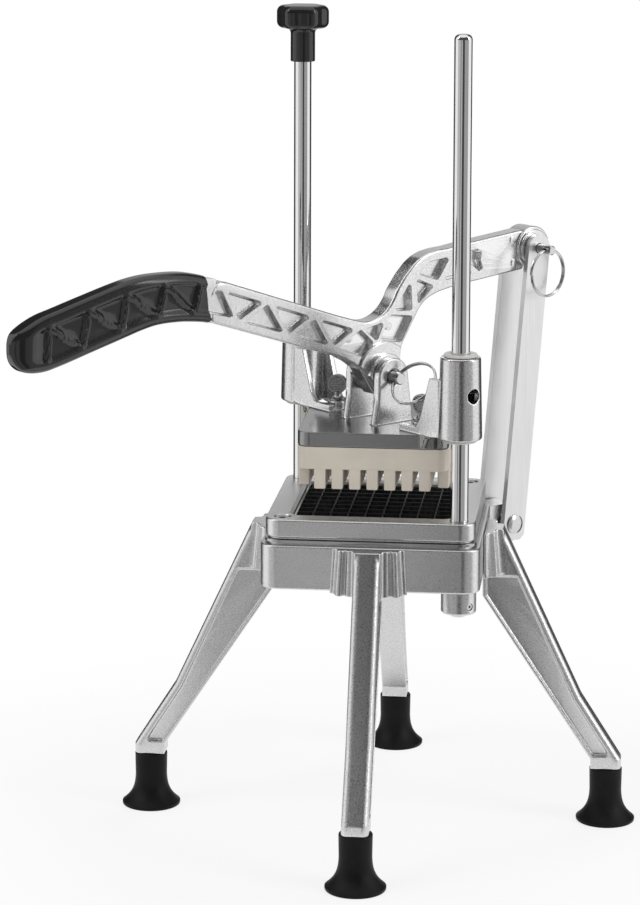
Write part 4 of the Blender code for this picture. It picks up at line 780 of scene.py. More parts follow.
class Graph:
    """A small helper that adds and links shader nodes."""

    def __init__(self, name):
        self.material = bpy.data.materials.new(name)
        self.material.use_nodes = True
        self.tree = self.material.node_tree
        self.shader = self.tree.nodes["Principled BSDF"]
        self.coords = self.add("ShaderNodeTexCoord").outputs["Object"]

    def add(self, kind, **settings):
        """A node with its settings and its inputs, by name."""
        node = self.tree.nodes.new(kind)
        for key, value in settings.items():
            if key in node.inputs:
                self.feed(node.inputs[key], value)
            else:
                setattr(node, key, value)
        return node

    def feed(self, socket, value):
        """A link or a plain value into a socket."""
        if isinstance(value, bpy.types.NodeSocket):
            self.tree.links.new(value, socket)
        else:
            socket.default_value = value

    def noise(self, scale, detail, roughness, stretch=None):
        """Noise in the object's own metres."""
        coords = self.coords
        if stretch:
            coords = self.add("ShaderNodeMapping", Vector=coords, Scale=stretch).outputs[0]
        return self.add("ShaderNodeTexNoise", Vector=coords, Scale=scale, Detail=detail,
                        Roughness=roughness).outputs["Fac"]

    def span(self, value, low, high, first, last):
        """The value's range from low to high, stretched to first and last."""
        node = self.add("ShaderNodeMapRange")
        for socket, number in zip(node.inputs, (value, low, high, first, last)):
            self.feed(socket, number)
        return node.outputs[0]

    def blend(self, share, first, last):
        """A colour between two."""
        node = self.add("ShaderNodeMix", data_type="RGBA")
        self.feed(node.inputs[0], share)
        self.feed(node.inputs[6], first)
        self.feed(node.inputs[7], last)
        return node.outputs[2]

    def math(self, operation, first, second):
        """One sum, product or other operation."""
        node = self.add("ShaderNodeMath", operation=operation)
        self.feed(node.inputs[0], first)
        self.feed(node.inputs[1], second)
        return node.outputs[0]

    def bump(self, height, distance, strength, under=None):
        """A bump from a height, over another if given."""
        node = self.add("ShaderNodeBump", Height=height, Distance=distance, Strength=strength)
        if under is not None:
            self.feed(node.inputs["Normal"], under)
        return node.outputs[0]

    def finish(self, colour, roughness, metallic, normal=None, **plain):
        """Feeds the shader."""
        self.feed(self.shader.inputs["Base Color"], colour)
        self.feed(self.shader.inputs["Roughness"], roughness)
        self.shader.inputs["Metallic"].default_value = metallic
        if normal is not None:
            self.feed(self.shader.inputs["Normal"], normal)
        for key, value in plain.items():
            self.shader.inputs[key.replace("_", " ")].default_value = value
        return self.material


def grey(level, warm=0.0):
    """A grey, a little warm or cool."""
    return (level * (1 + warm), level, level * (1 - warm), 1)


def cast_metal(name, level, rough, plate_top=None):
    """Blasted cast aluminium: fine grain, soft blotches, and a painted highlight along its edges.

    Below plate_top, where given, it is ground smooth, and its colour there is painted darker as shade for
    the dark reflections on the plate.
    """
    graph = Graph(name)
    grain = graph.noise(1300, 3, 0.7)
    blotch = graph.noise(55, 3, 0.5)
    shade = graph.blend(graph.span(grain, 0.35, 0.65, 0, 1), grey(level * 0.78), grey(level * 1.12))
    shade = graph.blend(graph.span(blotch, 0.3, 0.7, 0, 0.35), shade, grey(level * 0.92))
    # painted highlight: convex edges, found by pointiness, are lightened to stand for the light they catch
    edge = graph.add("ShaderNodeNewGeometry").outputs["Pointiness"]
    painted_edge_highlight = graph.span(edge, 0.52, 0.60, 0, 0.75)
    shade = graph.blend(painted_edge_highlight, shade, grey(min(level * 1.5, 0.95)))
    dull = graph.span(grain, 0.3, 0.7, rough * 0.85, rough * 1.2)
    if plate_top is not None:
        rise = graph.add("ShaderNodeSeparateXYZ", Vector=graph.coords).outputs["Z"]
        above = graph.span(rise, plate_top, plate_top + GAP, 0, 1)
        # painted shade: the plate's colour is darkened to stand for its dark reflections; the lower
        # roughness below is its real smoother finish
        shade = graph.blend(above, grey(level * 0.42), shade)
        dull = graph.math("MULTIPLY", dull, graph.span(above, 0, 1, 0.85, 1))
    bump = graph.bump(grain, GRAIN_DEPTH, 0.5)
    bump = graph.bump(blotch, BLOTCH_DEPTH, 0.12, bump)
    return graph.finish(shade, dull, 1.0, bump)


def bright_steel(name, level, rough, stretch):
    """Drawn or turned stainless steel with fine lines across the stretch."""
    graph = Graph(name)
    lines = graph.noise(900, 3, 0.6, stretch)
    soft = graph.noise(35, 2, 0.5)
    shade = graph.blend(graph.span(lines, 0.3, 0.7, 0, 1), grey(level * 0.94), grey(level * 1.04))
    dull = graph.span(graph.math("ADD", lines, soft), 0.7, 1.3, rough * 0.8, rough * 1.3)
    bump = graph.bump(lines, LINE_DEPTH, 0.25)
    return graph.finish(shade, dull, 1.0, bump)


def blade_steel_with_painted_shade():
    """Blade steel coloured near black as painted shade for the deep grid cells, with ground streaks."""
    graph = Graph("blade_painted_shade")
    streaks = graph.noise(700, 3, 0.6, (1, 1, 0.15))
    # painted shade: the near-black tone stands for the shade inside the cells, not the steel's own colour
    shade = graph.blend(graph.span(streaks, 0.35, 0.65, 0, 1), grey(0.012), grey(0.030))
    dull = graph.span(streaks, 0.3, 0.7, 0.42, 0.55)
    bump = graph.bump(streaks, LINE_DEPTH, 0.2)
    return graph.finish(shade, dull, 0.3, bump, Specular_IOR_Level=0.25)


def vinyl(name, rough):
    """Glossy black dipped vinyl or moulded plastic, with the faint waves of a thick skin."""
    graph = Graph(name)
    waves = graph.noise(90, 2, 0.5)
    fine = graph.noise(1400, 2, 0.5)
    shade = graph.blend(waves, grey(0.010), grey(0.016))
    dull = graph.span(fine, 0.3, 0.7, rough * 0.85, rough * 1.25)
    bump = graph.bump(fine, SKIN_DEPTH, 0.15)
    bump = graph.bump(waves, WAVE_DEPTH, 0.18, bump)
    return graph.finish(shade, dull, 0.0, bump, Coat_Weight=0.25, Coat_Roughness=0.12)


def rubber():
    """Matt black rubber with a fine bloom."""
    graph = Graph("foot_rubber")
    fine = graph.noise(1800, 3, 0.6)
    bloom = graph.noise(120, 3, 0.6)
    shade = graph.blend(graph.span(bloom, 0.35, 0.7, 0, 1), grey(0.006), grey(0.010))
    dull = graph.span(bloom, 0.3, 0.7, 0.40, 0.52)
    bump = graph.bump(fine, BLOOM_DEPTH, 0.3)
    return graph.finish(shade, dull, 0.0, bump, Specular_IOR_Level=0.12)


def white_plastic(name, colour, rough):
    """Moulded food-grade plastic, a little soft in the light."""
    graph = Graph(name)
    fine = graph.noise(1300, 2, 0.5)
    cloud = graph.noise(70, 2, 0.5)
    darker = tuple(channel * 0.94 for channel in colour[:3]) + (1,)
    shade = graph.blend(graph.span(cloud, 0.35, 0.65, 0, 1), darker, colour)
    dull = graph.span(fine, 0.3, 0.7, rough * 0.9, rough * 1.15)
    return graph.finish(shade, dull, 0.0, graph.bump(fine, LINE_DEPTH, 0.15))


CAST = cast_metal("cast_satin", 0.74, 0.30)
CAST_LEVER = cast_metal("cast_lever", 0.80, 0.23)
# the plate part of this casting carries painted shade
CAST_HEAD = cast_metal("cast_head", 0.74, 0.24, PLATE_TOP + GAP)
STEEL = bright_steel("steel_bright", 0.80, 0.07, (1, 1, 0.02))
TURNED = bright_steel("steel_turned", 0.66, 0.20, (1, 1, 1))
NICKEL = bright_steel("thumb_nickel", 0.30, 0.26, (1, 1, 1))
PRESSED = bright_steel("steel_pressed", 0.52, 0.22, (0.1, 0.1, 1))
BAR = bright_steel("link_pale", 0.74, 0.36, (1, 1, 0.03))
BLADE_IN_PAINTED_SHADE = blade_steel_with_painted_shade()
VINYL = vinyl("grip_vinyl", 0.14)
KNOB = vinyl("knob_black", 0.16)
RUBBER = rubber()
WHITE = white_plastic("block_white", (0.68, 0.62, 0.535, 1), 0.38)
PALE = white_plastic("bush_pale", (0.62, 0.61, 0.59, 1), 0.35)


def base_mesh():
    """The skirt round the chute, its rod bosses and the lug for the links."""
    mesh = plate([square(BASE_HALF, BASE_CORNER)], BASE_BOTTOM, BASE_TOP - SEAM, BASE_EDGE)
    mesh = join(mesh, plate([square(RIM_HALF - SEAM_DEPTH, BASE_CORNER)], BASE_TOP - BASE_DECK, BASE_TOP))
    mesh = cut(mesh, plate([square(CHUTE_HALF, CHUTE_CORNER)], BASE_BOTTOM - OVERRUN, BASE_TOP + OVERRUN))
    inner = CHUTE_HALF + CHUTE_WALL
    outer = BASE_HALF - BASE_WALL
    reach = ROD_SPACING - CORNER_BOSS_HALF
    pockets = []
    for sign in (1, -1):
        low, high = min(sign * inner, sign * outer), max(sign * inner, sign * outer)
        for left, right in ((LEG_PAD_HALF, reach), (-reach, -LEG_PAD_HALF)):
            pockets.append(rectangle(left, low, right, high))
            pockets.append(rectangle(low, left, high, right))
    pockets = [rounded(pocket, BASE_EDGE, 3) for pocket in pockets]
    mesh = cut(mesh, plate(pockets, BASE_BOTTOM - OVERRUN, BASE_TOP - BASE_DECK))
    low = BASE_BOTTOM - ROD_BOSS_DROP
    inside = BASE_BOTTOM + BASE_DECK
    profile = [(0, inside), (ROD_BOSS_RADIUS, inside)]
    profile += bottom_rim(ROD_BOSS_RADIUS, low, ROD_BOSS_EDGE, 5) + [(0, low)]
    for x, y in corners(False):
        mesh = join(mesh, moved(turned(profile, MEDIUM), x, y))
    outline = [(LUG_ROOT_RUN, LINK_PIVOT_RISE - LUG_RADIUS)]
    outline += arc(LUG_RADIUS, -QUARTER, QUARTER, COARSE, LINK_PIVOT_RUN, LINK_PIVOT_RISE)
    outline.append((LUG_ROOT_RUN, LINK_PIVOT_RISE + LUG_RADIUS))
    bore = circle(LUG_BORE, MEDIUM, LINK_PIVOT_RUN, LINK_PIVOT_RISE)
    mesh = join(mesh, turn(eased(slab([outline, bore], LUG_THICK), LUG_EDGE), upright(DIAGONAL)))
    mesh = drill(mesh, False, ROD_RADIUS, low - OVERRUN, BASE_TOP + OVERRUN)
    for x, _ in corners(False):
        hole = rod(SET_SCREW_RADIUS + GAP, ROD_RUN, ROD_RUN + ROD_BOSS_RADIUS + OVERRUN, COARSE)
        mesh = cut(mesh, turn(along_x(hole, SET_SCREW_LEVEL), outward(x)))
    mesh = drill(mesh, True, FRAME_SCREW_SHANK, FRAME_SCREW_BOTTOM - GAP, BASE_TOP + OVERRUN, COARSE)
    for side in range(4):
        mesh = cut(mesh, turn(leg_screw_hole(), rotation(side * QUARTER)))
    return mesh


def leg_screw_profile(play):
    """The countersunk leg screw, or with play its hole, from the chute outward."""
    face = CHUTE_HALF + GAP - play
    neck = face + LEG_SCREW_HEAD - LEG_SCREW_RADIUS
    end = BASE_HALF + GAP + LEG_SCREW_REACH + play
    start = face - (OVERRUN if play else 0)
    return [(0, end), (LEG_SCREW_RADIUS + play, end), (LEG_SCREW_RADIUS + play, neck + play),
            (LEG_SCREW_HEAD + play, face + play), (LEG_SCREW_HEAD + play, start), (0, start)]


def leg_screw_hole():
    """What a leg screw takes out of the base and the leg."""
    return along_x(turned(leg_screw_profile(GAP), MEDIUM), LEG_SCREW_RISE)


def leg_screw_mesh():
    """A countersunk screw from the chute into a leg."""
    profile = leg_screw_profile(0)
    screw = turned(profile[:4] + profile[-1:], MEDIUM)
    socket = hex_socket(LEG_SCREW_RADIUS, LEG_SCREW_RADIUS / 2, CHUTE_HALF + GAP)
    return along_x(cut(screw, socket), LEG_SCREW_RISE)


def leg_outline():
    """The leg from its side: (run from the middle, rise)."""
    toe_out = FOOT_CIRCLE + LEG_TOE / 2
    toe_in = FOOT_CIRCLE - LEG_TOE / 2
    toe = FOOT_HEIGHT + GAP
    inside = BASE_HALF + GAP
    head = BASE_TOP - LEG_CREST
    return [(inside, head), (inside + LEG_HEAD_DEPTH, head), (LEG_KNEE_RUN, LEG_KNEE_RISE),
            (toe_out, toe + LEG_TOE_RISE), (toe_out, toe), (toe_in, toe), (toe_in, toe + LEG_TOE_RISE),
            (inside - LEG_HEEL_UNDER, LEG_HEEL_RISE),
            (inside - LEG_HEEL_UNDER, BASE_BOTTOM - GAP), (inside, BASE_BOTTOM - GAP)]


def leg_beam():
    """The sloping beam with its bevelled outer edges, standing along +X."""
    mesh = slab([leg_outline()], LEG_WIDTH)
    crest = [Vector((x, y, 0)) for x, y in leg_outline()[1:5]]
    shape = bmesh.new()
    shape.from_mesh(mesh)

    def on_crest(vertex):
        flat = Vector((vertex.co.x, vertex.co.y, 0))
        return min((flat - point).length for point in crest) < GAP

    edges = []
    for edge in shape.edges:
        level = abs(edge.verts[0].co.z - edge.verts[1].co.z) < GAP
        sharp = len(edge.link_faces) == 2 and edge.calc_face_angle(0) > DIAGONAL
        if level and sharp and all(on_crest(vertex) for vertex in edge.verts):
            edges.append(edge)
    bmesh.ops.bevel(shape, geom=edges, offset=LEG_BEVEL, segments=5, profile=0.5, affect="EDGES")
    shape.to_mesh(mesh)
    shape.free()
    return turn(tidy(mesh), upright(0))


def leg_head():
    """The ribbed head that widens from the leg's sides to the base's wall, and leans out downward."""
    wall = BASE_HALF + GAP
    outlines = []
    for lean, flare in ((LEG_HEAD_LEAN, LEG_HEAD_FLARE), (0, 0)):
        depth = LEG_HEAD_DEPTH + lean
        flank = [(wall + x * depth, y * LEG_HEAD_HALF + flare * min(1, 2 * (y - LEG_HEAD_STILL_SHARE)))
                 for x, y in LEG_HEAD_SHARES]
        outlines.append(flank + [(x, -y) for x, y in reversed(flank)])
    return loft(*outlines, BASE_BOTTOM - LEG_HEAD_DROP, BASE_TOP - LEG_CREST)


def leg_recess():
    """The recess in a leg's side, from the toe up to the head."""
    outline = leg_outline()
    inner = [outline[1], outline[2], outline[3], outline[6], outline[7]]
    margins = [LEG_FLANGE, LEG_FLANGE, LEG_BORDER, LEG_BORDER, LEG_BORDER]
    top = BASE_BOTTOM - LEG_HEAD_DROP - LEG_BORDER
    kept = [point for point in inset(inner, margins) if point[1] < top]
    crossing = []
    for first, second in ((outline[1], outline[2]), (outline[7], outline[8])):
        share = (first[1] - top) / (first[1] - second[1])
        crossing.append(first[0] + (second[0] - first[0]) * share)
    points = [(crossing[0] - LEG_FLANGE, top)] + kept + [(crossing[1] + LEG_BORDER, top)]
    middle_x = sum(x for x, _ in points) / len(points)
    middle_y = sum(y for _, y in points) / len(points)
    points.sort(key=lambda point: math.atan2(point[1] - middle_y, point[0] - middle_x))
    return points


def leg_mesh():
    """A cast leg with its side recesses, spigot and fluted head, along +X, to be cast as one."""
    mesh = leg_beam()
    floor = leg_recess()
    mouth = inset(floor, [-LEG_RECESS / 3] * len(floor))
    half = LEG_WIDTH / 2
    for sign in (1, -1):
        tool = stack([(sign * (half - LEG_RECESS), rounded(floor, LEG_BORDER, 4)),
                      (sign * (half + LEG_RECESS), rounded(mouth, LEG_BORDER, 4))])
        mesh = cut(mesh, turn(tool, upright(0)))
    toe = FOOT_HEIGHT + GAP
    spigot = rod(SPIGOT_RADIUS, toe - SPIGOT_DEPTH, toe + LEG_TOE_RISE)
    mesh = join(mesh, moved(spigot, x=FOOT_CIRCLE))
    return heap(cut(mesh, leg_screw_hole()), cut(leg_head(), leg_screw_hole()))


def foot_mesh():
    """A flared rubber foot with a lip at its mouth, bored for the leg's spigot."""
    bore = SPIGOT_RADIUS + GAP
    floor = FOOT_HEIGHT - SPIGOT_DEPTH
    profile = [(0, floor), (bore, floor), (bore, FOOT_HEIGHT)]
    profile += top_rim(FOOT_SLEEVE_RADIUS + FOOT_EDGE / 4, FOOT_HEIGHT, FOOT_EDGE)
    spread = FOOT_RADIUS - FOOT_SLEEVE_RADIUS
    neck = FOOT_HEIGHT * FOOT_NECK_SHARE
    for step in range(FOOT_STEPS):
        share = (step + 1) / FOOT_STEPS
        flare = FOOT_CONE_SHARE * share + (1 - FOOT_CONE_SHARE) * share ** FOOT_FLARE_POWER
        profile.append((FOOT_SLEEVE_RADIUS + spread * flare, neck + (2 * FOOT_EDGE - neck) * share))
    return turned(profile + bottom_rim(FOOT_RADIUS, 0, FOOT_EDGE) + [(0, 0)])


def rim_mesh():
    """The cartridge's rim plate and the box that the blades stand in."""
    hole = BOX_HALF_INSIDE + BOX_WALL / 2
    loops = [square(RIM_HALF, RIM_CORNER), square(hole, BOX_CORNER)]
    rim = eased(plate(loops, RIM_BOTTOM, RIM_BOTTOM + RIM_THICK), RIM_EDGE, 2)
    walls = [square(BOX_HALF_INSIDE + BOX_WALL, BOX_CORNER + BOX_WALL), square(BOX_HALF_INSIDE, BOX_CORNER)]
    mesh = join(rim, plate(walls, BOX_BOTTOM, BOX_TOP))
    mesh = drill(mesh, False, ROD_RADIUS, RIM_BOTTOM - OVERRUN, FRAME_BOTTOM)
    return drill(mesh, True, FRAME_SCREW_SHANK, RIM_BOTTOM - OVERRUN, FRAME_BOTTOM)


def top_frame_mesh():
    """The cast frame that clamps the cartridge, with its bevelled lip and screw recesses."""
    middle = (FRAME_BOTTOM + FRAME_TOP) / 2
    above = FRAME_TOP + OVERRUN
    below = FRAME_BOTTOM - OVERRUN
    body = plate([square(FRAME_HALF, FRAME_CORNER)], FRAME_BOTTOM + SEAM, FRAME_TOP, FRAME_EDGE)
    mesh = join(body, plate([square(FRAME_HALF - SEAM_DEPTH, FRAME_CORNER)], FRAME_BOTTOM, middle))
    mesh = cut(mesh, plate([square(CHUTE_HALF, CHUTE_CORNER)], below, above))
    spread = FRAME_LIP + OVERRUN
    low_edge = square(CHUTE_HALF - OVERRUN / 2, CHUTE_CORNER)
    high_edge = square(CHUTE_HALF + spread, CHUTE_CORNER + spread)
    lip = loft(low_edge, high_edge, FRAME_TOP - FRAME_LIP - OVERRUN / 2, above)
    mesh = drill(cut(mesh, lip), False, ROD_RADIUS, below, above)
    seat = FRAME_TOP - SCREW_RECESS
    shank = FRAME_SCREW_SHANK + GAP
    head = FRAME_SCREW_HEAD + GAP
    profile = [(0, above), (head + OVERRUN, above), (head, FRAME_TOP - SCREW_EDGE), (head, seat),
               (shank, seat), (shank, below), (0, below)]
    for x, y in corners(True):
        mesh = cut(mesh, moved(turned(profile, MEDIUM), x, y))
    return mesh


def frame_screw_mesh():
    """A socket screw through the frame and the cartridge into the base."""
    seat = FRAME_TOP - SCREW_RECESS + GAP
    top = seat + FRAME_SCREW_HEAD_HEIGHT
    profile = [(0, top)] + top_rim(FRAME_SCREW_HEAD, top, SCREW_EDGE, 3)
    profile += [(FRAME_SCREW_HEAD, seat), (FRAME_SCREW_SHANK, seat), (FRAME_SCREW_SHANK, FRAME_SCREW_BOTTOM),
                (0, FRAME_SCREW_BOTTOM)]
    return cut(turned(profile, MEDIUM), hex_socket(SOCKET_ACROSS / 2, SOCKET_DEPTH, top))


def rod_mesh(top, domed):
    """A guide rod from under its boss to its top."""
    if domed:
        head = top_rim(ROD_RADIUS, top, ROD_DOME, 8)
    else:
        head = [(ROD_RADIUS - ROD_CHAMFER, top), (ROD_RADIUS, top - ROD_CHAMFER)]
    foot = [(ROD_RADIUS, ROD_BOTTOM + ROD_CHAMFER), (ROD_RADIUS - ROD_CHAMFER, ROD_BOTTOM)]
    return turned([(0, top)] + head + foot + [(0, ROD_BOTTOM)])


def set_screw_mesh():
    """A headless screw that holds a rod in its boss."""
    start = ROD_RUN + ROD_RADIUS + GAP
    end = ROD_RUN + ROD_BOSS_RADIUS - SET_SCREW_SUNK
    screw = rod(SET_SCREW_RADIUS, start, end, COARSE)
    half = SET_SCREW_RADIUS / 2
    return along_x(cut(screw, hex_socket(half, half, end)), SET_SCREW_LEVEL)


def knob_mesh():
    """The lobed knob: a soft crown over a stem, bored from below for the far rod."""
    count = KNOB_LOBES * 16
    levels = [(KNOB_HEAD_BOTTOM, share) for share in KNOB_UNDER_SHARES]
    for angle in map(math.radians, (10, 25, 40, 55, 70, 85)):
        reach = 1 - KNOB_EDGE * (1 - math.sin(angle)) / KNOB_RADIUS
        levels.append((KNOB_HEAD_BOTTOM + KNOB_EDGE * (1 - math.cos(angle)), reach))
    for angle in map(math.radians, (0, 12, 25, 38, 50, 62, 75, 86)):
        reach = 1 - KNOB_EDGE * (1 - math.cos(angle)) / KNOB_RADIUS
        levels.append((KNOB_TOP - KNOB_EDGE * (1 - math.sin(angle)), reach))
    levels += [(KNOB_TOP, share) for share in KNOB_CROWN_SHARES]
    outlines = []
    for level, reach in levels:
        lobed = KNOB_LOBE_DEPTH * fade(reach, KNOB_ROUND_SHARE, KNOB_LOBED_SHARE)
        outline = []
        for i in range(count):
            angle = 2 * math.pi * i / count
            radius = (KNOB_RADIUS - lobed * (1 - math.cos(KNOB_LOBES * angle)) / 2) * reach
            outline.append((radius * math.cos(angle), radius * math.sin(angle)))
        outlines.append((level, outline))
    head = stack(outlines)
    neck = KNOB_HEAD_BOTTOM - KNOB_NECK_SPREAD
    inside = KNOB_HEAD_BOTTOM + KNOB_NECK_SPREAD
    wide = KNOB_STEM_RADIUS + KNOB_NECK_SPREAD
    profile = [(0, inside), (wide, inside)] + arc(KNOB_NECK_SPREAD, QUARTER, math.pi, 6, wide, neck)
    profile += bottom_rim(KNOB_STEM_RADIUS, KNOB_STEM_BOTTOM, SCREW_EDGE, 3) + [(0, KNOB_STEM_BOTTOM)]
    mesh = join(head, turned(profile))
    return cut(mesh, rod(ROD_RADIUS + GAP, KNOB_STEM_BOTTOM - OVERRUN, FAR_ROD_TOP + GAP))


def clevis_ear(seated):
    """One ear of the clevis with the round rib on its front edge, flat in its own plane, to be cast."""
    foot_level = PLATE_TOP - PIVOT_RISE - PLATE_EDGE
    outline = [(-EAR_FOOT_FRONT, foot_level), (EAR_FOOT_BACK, foot_level)]
    outline += arc(EAR_RADIUS, 0, math.pi, COARSE)
    ear = cut(slab([outline], EAR_THICK, EAR_EDGE), rod(MID_PIN_RADIUS + GAP, -EAR_THICK, EAR_THICK))
    if seated:
        ear = cut(ear, rod(PIN_RECESS_RADIUS, EAR_THICK / 2 - PIN_RECESS_DEPTH, EAR_THICK))
    foot_point = Vector((-EAR_FOOT_FRONT, foot_level))
    top_point = Vector((EAR_RIB_TOP_RUN, EAR_RIB_TOP_RISE))
    rib = rod(EAR_RIB_RADIUS, 0, (top_point - foot_point).length, COARSE)
    rib = turn(rib, rotation(-QUARTER, "X"))
    lean = math.atan2(top_point.x - foot_point.x, top_point.y - foot_point.y)
    rib = turn(rib, rotation(-lean))
    foot = turn(puck(EAR_RIB_FOOT, EAR_RIB_FOOT, EAR_EDGE), rotation(QUARTER, "X"))
    return heap(ear, moved(rib, foot_point.x, foot_point.y), moved(foot, foot_point.x, foot_point.y))


def guide_mesh():
    """One guide for a rod, standing on its two arms, along +X from the middle."""
    profile = [(0, GUIDE_TOP), (GUIDE_RADIUS - GUIDE_TAPER - GUIDE_RIM, GUIDE_TOP),
               (GUIDE_RADIUS - GUIDE_TAPER, GUIDE_TOP - GUIDE_RIM),
               (GUIDE_RADIUS + GUIDE_TAPER, GUIDE_BOTTOM + GUIDE_RIM),
               (GUIDE_RADIUS + GUIDE_TAPER - GUIDE_RIM, GUIDE_BOTTOM), (0, GUIDE_BOTTOM)]
    mesh = moved(turned(profile), x=ROD_RUN)
    reach = ROD_RUN - GUIDE_RADIUS / 2
    low = PLATE_BOTTOM + PLATE_EDGE
    outline = [(ARM_FOOT_RUN, low), (ARM_HEEL_RUN, low), (ARM_HEEL_RUN + ARM_TONGUE, PLATE_TOP - ARM_TONGUE),
               (reach, GUIDE_BOTTOM + GUIDE_RIM), (reach, ARM_TOP),
               (ARM_TOP_RUN, ARM_TOP), (ARM_WAIST_RUN, ARM_WAIST_RISE),
               (ARM_WAIST_RUN - ARM_FOOT_THICK, PLATE_TOP + ARM_FOOT_THICK),
               (ARM_FOOT_RUN, PLATE_TOP + ARM_FOOT_THICK)]
    for sign in (1, -1):
        arm = turn(slab([outline], ARM_THICK), upright(0))
        mesh = join(mesh, moved(arm, y=sign * (GUIDE_RADIUS - ARM_INSIDE_GUIDE - ARM_THICK / 2)))
    bore = rod(BUSH_RADIUS + GAP, GUIDE_BOTTOM - OVERRUN, GUIDE_TOP + OVERRUN)
    hole = rod(GUIDE_HOLE, ROD_RUN, ROD_RUN + 2 * GUIDE_RADIUS)
    return cut(mesh, moved(bore, x=ROD_RUN), along_x(hole, GUIDE_HOLE_RISE))


def pusher_head_mesh():
    """The plate with its clevis, its two guides on their arms and the thumb screws' bosses."""
    mesh = eased(plate([square(PLATE_HALF, PLATE_CORNER)], PLATE_BOTTOM, PLATE_TOP), PLATE_EDGE)
    for x, _ in corners(False):
        seat = rod(BOSS_RADIUS, PLATE_TOP - PLATE_EDGE, PLATE_TOP + BOSS_HEIGHT)
        mesh = join(mesh, turn(guide_mesh(), outward(x)), at_boss(seat, x))
        thread = rod(THUMB_SHANK + GAP, PLATE_BOTTOM - OVERRUN, PLATE_TOP + BOSS_HEIGHT + OVERRUN, COARSE)
        mesh = cut(mesh, at_boss(thread, x))
    for sign in (1, -1):
        ear = moved(clevis_ear(sign > 0), z=sign * (EAR_GAP_HALF + EAR_THICK / 2))
        mesh = heap(mesh, turn(ear, lever_plane()))
    return mesh


def bush_mesh(upper):
    """A flanged plastic bush for the rod, at the upper or the lower end of a guide."""
    bore = ROD_RADIUS + BUSH_PLAY
    away = 1 if upper else -1
    seat = GUIDE_TOP + GAP if upper else GUIDE_BOTTOM - GAP
    face = seat + away * BUSH_FLANGE_THICK
    inner = seat - away * BUSH_LENGTH
    edge = BUSH_FLANGE_THICK / 3
    brim = face - away * edge
    return turned([(bore, inner), (bore, brim), (bore + edge, face), (BUSH_FLANGE_RADIUS - edge, face),
                   (BUSH_FLANGE_RADIUS, brim), (BUSH_FLANGE_RADIUS, seat), (BUSH_RADIUS, seat),
                   (BUSH_RADIUS, inner), (bore, inner)])


def block_mesh():
    """The plastic block with its grid of square fingers, none at the corners."""
    top = PLATE_BOTTOM - GAP
    body = top - BLOCK_THICK
    bottom = body - FINGER_LENGTH
    mesh = plate([square(BLOCK_HALF, BLOCK_CORNER)], body, top)
    half = CELL_PITCH * FINGER_SHARE / 2
    sides = ((body + GAP, half + FINGER_LENGTH * FINGER_DRAFT_SHARE, 2 * FINGER_EDGE),
             (bottom + FINGER_EDGE, half, 2 * FINGER_EDGE), (bottom, half - FINGER_EDGE, FINGER_EDGE))
    finger = stack([(level, rounded(rectangle(-reach, -reach, reach, reach), corner, 2))
                    for level, reach, corner in sides])
    last = CELLS - 1
    places = [(i, j) for i in range(CELLS) for j in range(CELLS) if not (i in (0, last) and j in (0, last))]
    fingers = [moved(finger.copy(), (i - last / 2) * CELL_PITCH, (j - last / 2) * CELL_PITCH)
               for i, j in places]
    mesh = join(mesh, heap(*fingers))
    for x, _ in corners(False):
        hole = rod(THUMB_SHANK + GAP, top - THUMB_GRIP_DEPTH - GAP, top + OVERRUN, COARSE)
        mesh = cut(mesh, at_boss(hole, x))
    return mesh


def thumb_mesh():
    """A thumb screw about Z: a flange, a waisted neck and a flat grip with a rim and ribs."""
    seat = PLATE_TOP + BOSS_HEIGHT + GAP
    flange = seat + THUMB_FLANGE_THICK
    neck = flange + THUMB_NECK_HEIGHT
    middle = neck + THUMB_DISC - THUMB_DISC_SUNK
    bottom = PLATE_BOTTOM - GAP - THUMB_GRIP_DEPTH
    spread = THUMB_FLANGE - THUMB_NECK
    waist = arc(spread, -math.pi, -QUARTER, 8, THUMB_FLANGE, flange + spread)
    profile = [(0, neck), (THUMB_NECK, neck)] + waist
    profile += [(THUMB_FLANGE, flange - SCREW_EDGE), (THUMB_FLANGE, seat), (THUMB_SHANK, seat),
                (THUMB_SHANK, bottom), (0, bottom)]
    disc = eased(slab([circle(THUMB_DISC, MEDIUM)], THUMB_DISC_THICK), SCREW_EDGE)
    well = THUMB_DISC - THUMB_RIM
    floor = THUMB_DISC_THICK / 2 - THUMB_WELL
    pitch = 2 * well / THUMB_RIBS
    for sign in (1, -1):
        dish = slab([circle(well, MEDIUM)], 2 * THUMB_WELL)
        disc = cut(disc, moved(dish, z=sign * THUMB_DISC_THICK / 2))
        for i in range(THUMB_RIBS):
            level = (i - (THUMB_RIBS - 1) / 2) * pitch
            reach = math.sqrt(well ** 2 - level ** 2) + GAP
            bar = rod(pitch * THUMB_RIB_SHARE, -reach, reach, COARSE)
            bar = turn(bar, rotation(QUARTER, "Y"))
            disc = join(disc, moved(bar, 0, level, sign * floor))
    disc = moved(turn(disc, upright(0)), z=middle)
    return join(turned(profile, MEDIUM), disc)


def lever_outline():
    """The lever from its side, without hub and eye."""
    top = scaled(TOP_REAR_SHARES, REAR_RUN, REAR_RISE) + scaled(TOP_BEAM_SHARES, BEAM_RUN, BEAM_RISE)
    heel = scaled(BOTTOM_BEAM_SHARES + HEEL_SHARES, BEAM_RUN, BEAM_RISE) + [(HUB_RADIUS - HUB_INSIDE, 0)]
    rear = scaled(BOTTOM_REAR_SHARES, REAR_RUN, REAR_RISE)
    radii = [LEVER_BEND] * len(top) + [HEEL_BEND] * len(heel) + [LEVER_BEND] * len(rear)
    radii[0] = radii[-1] = HEEL_BEND
    return rounded(top + heel + rear, radii, 4)


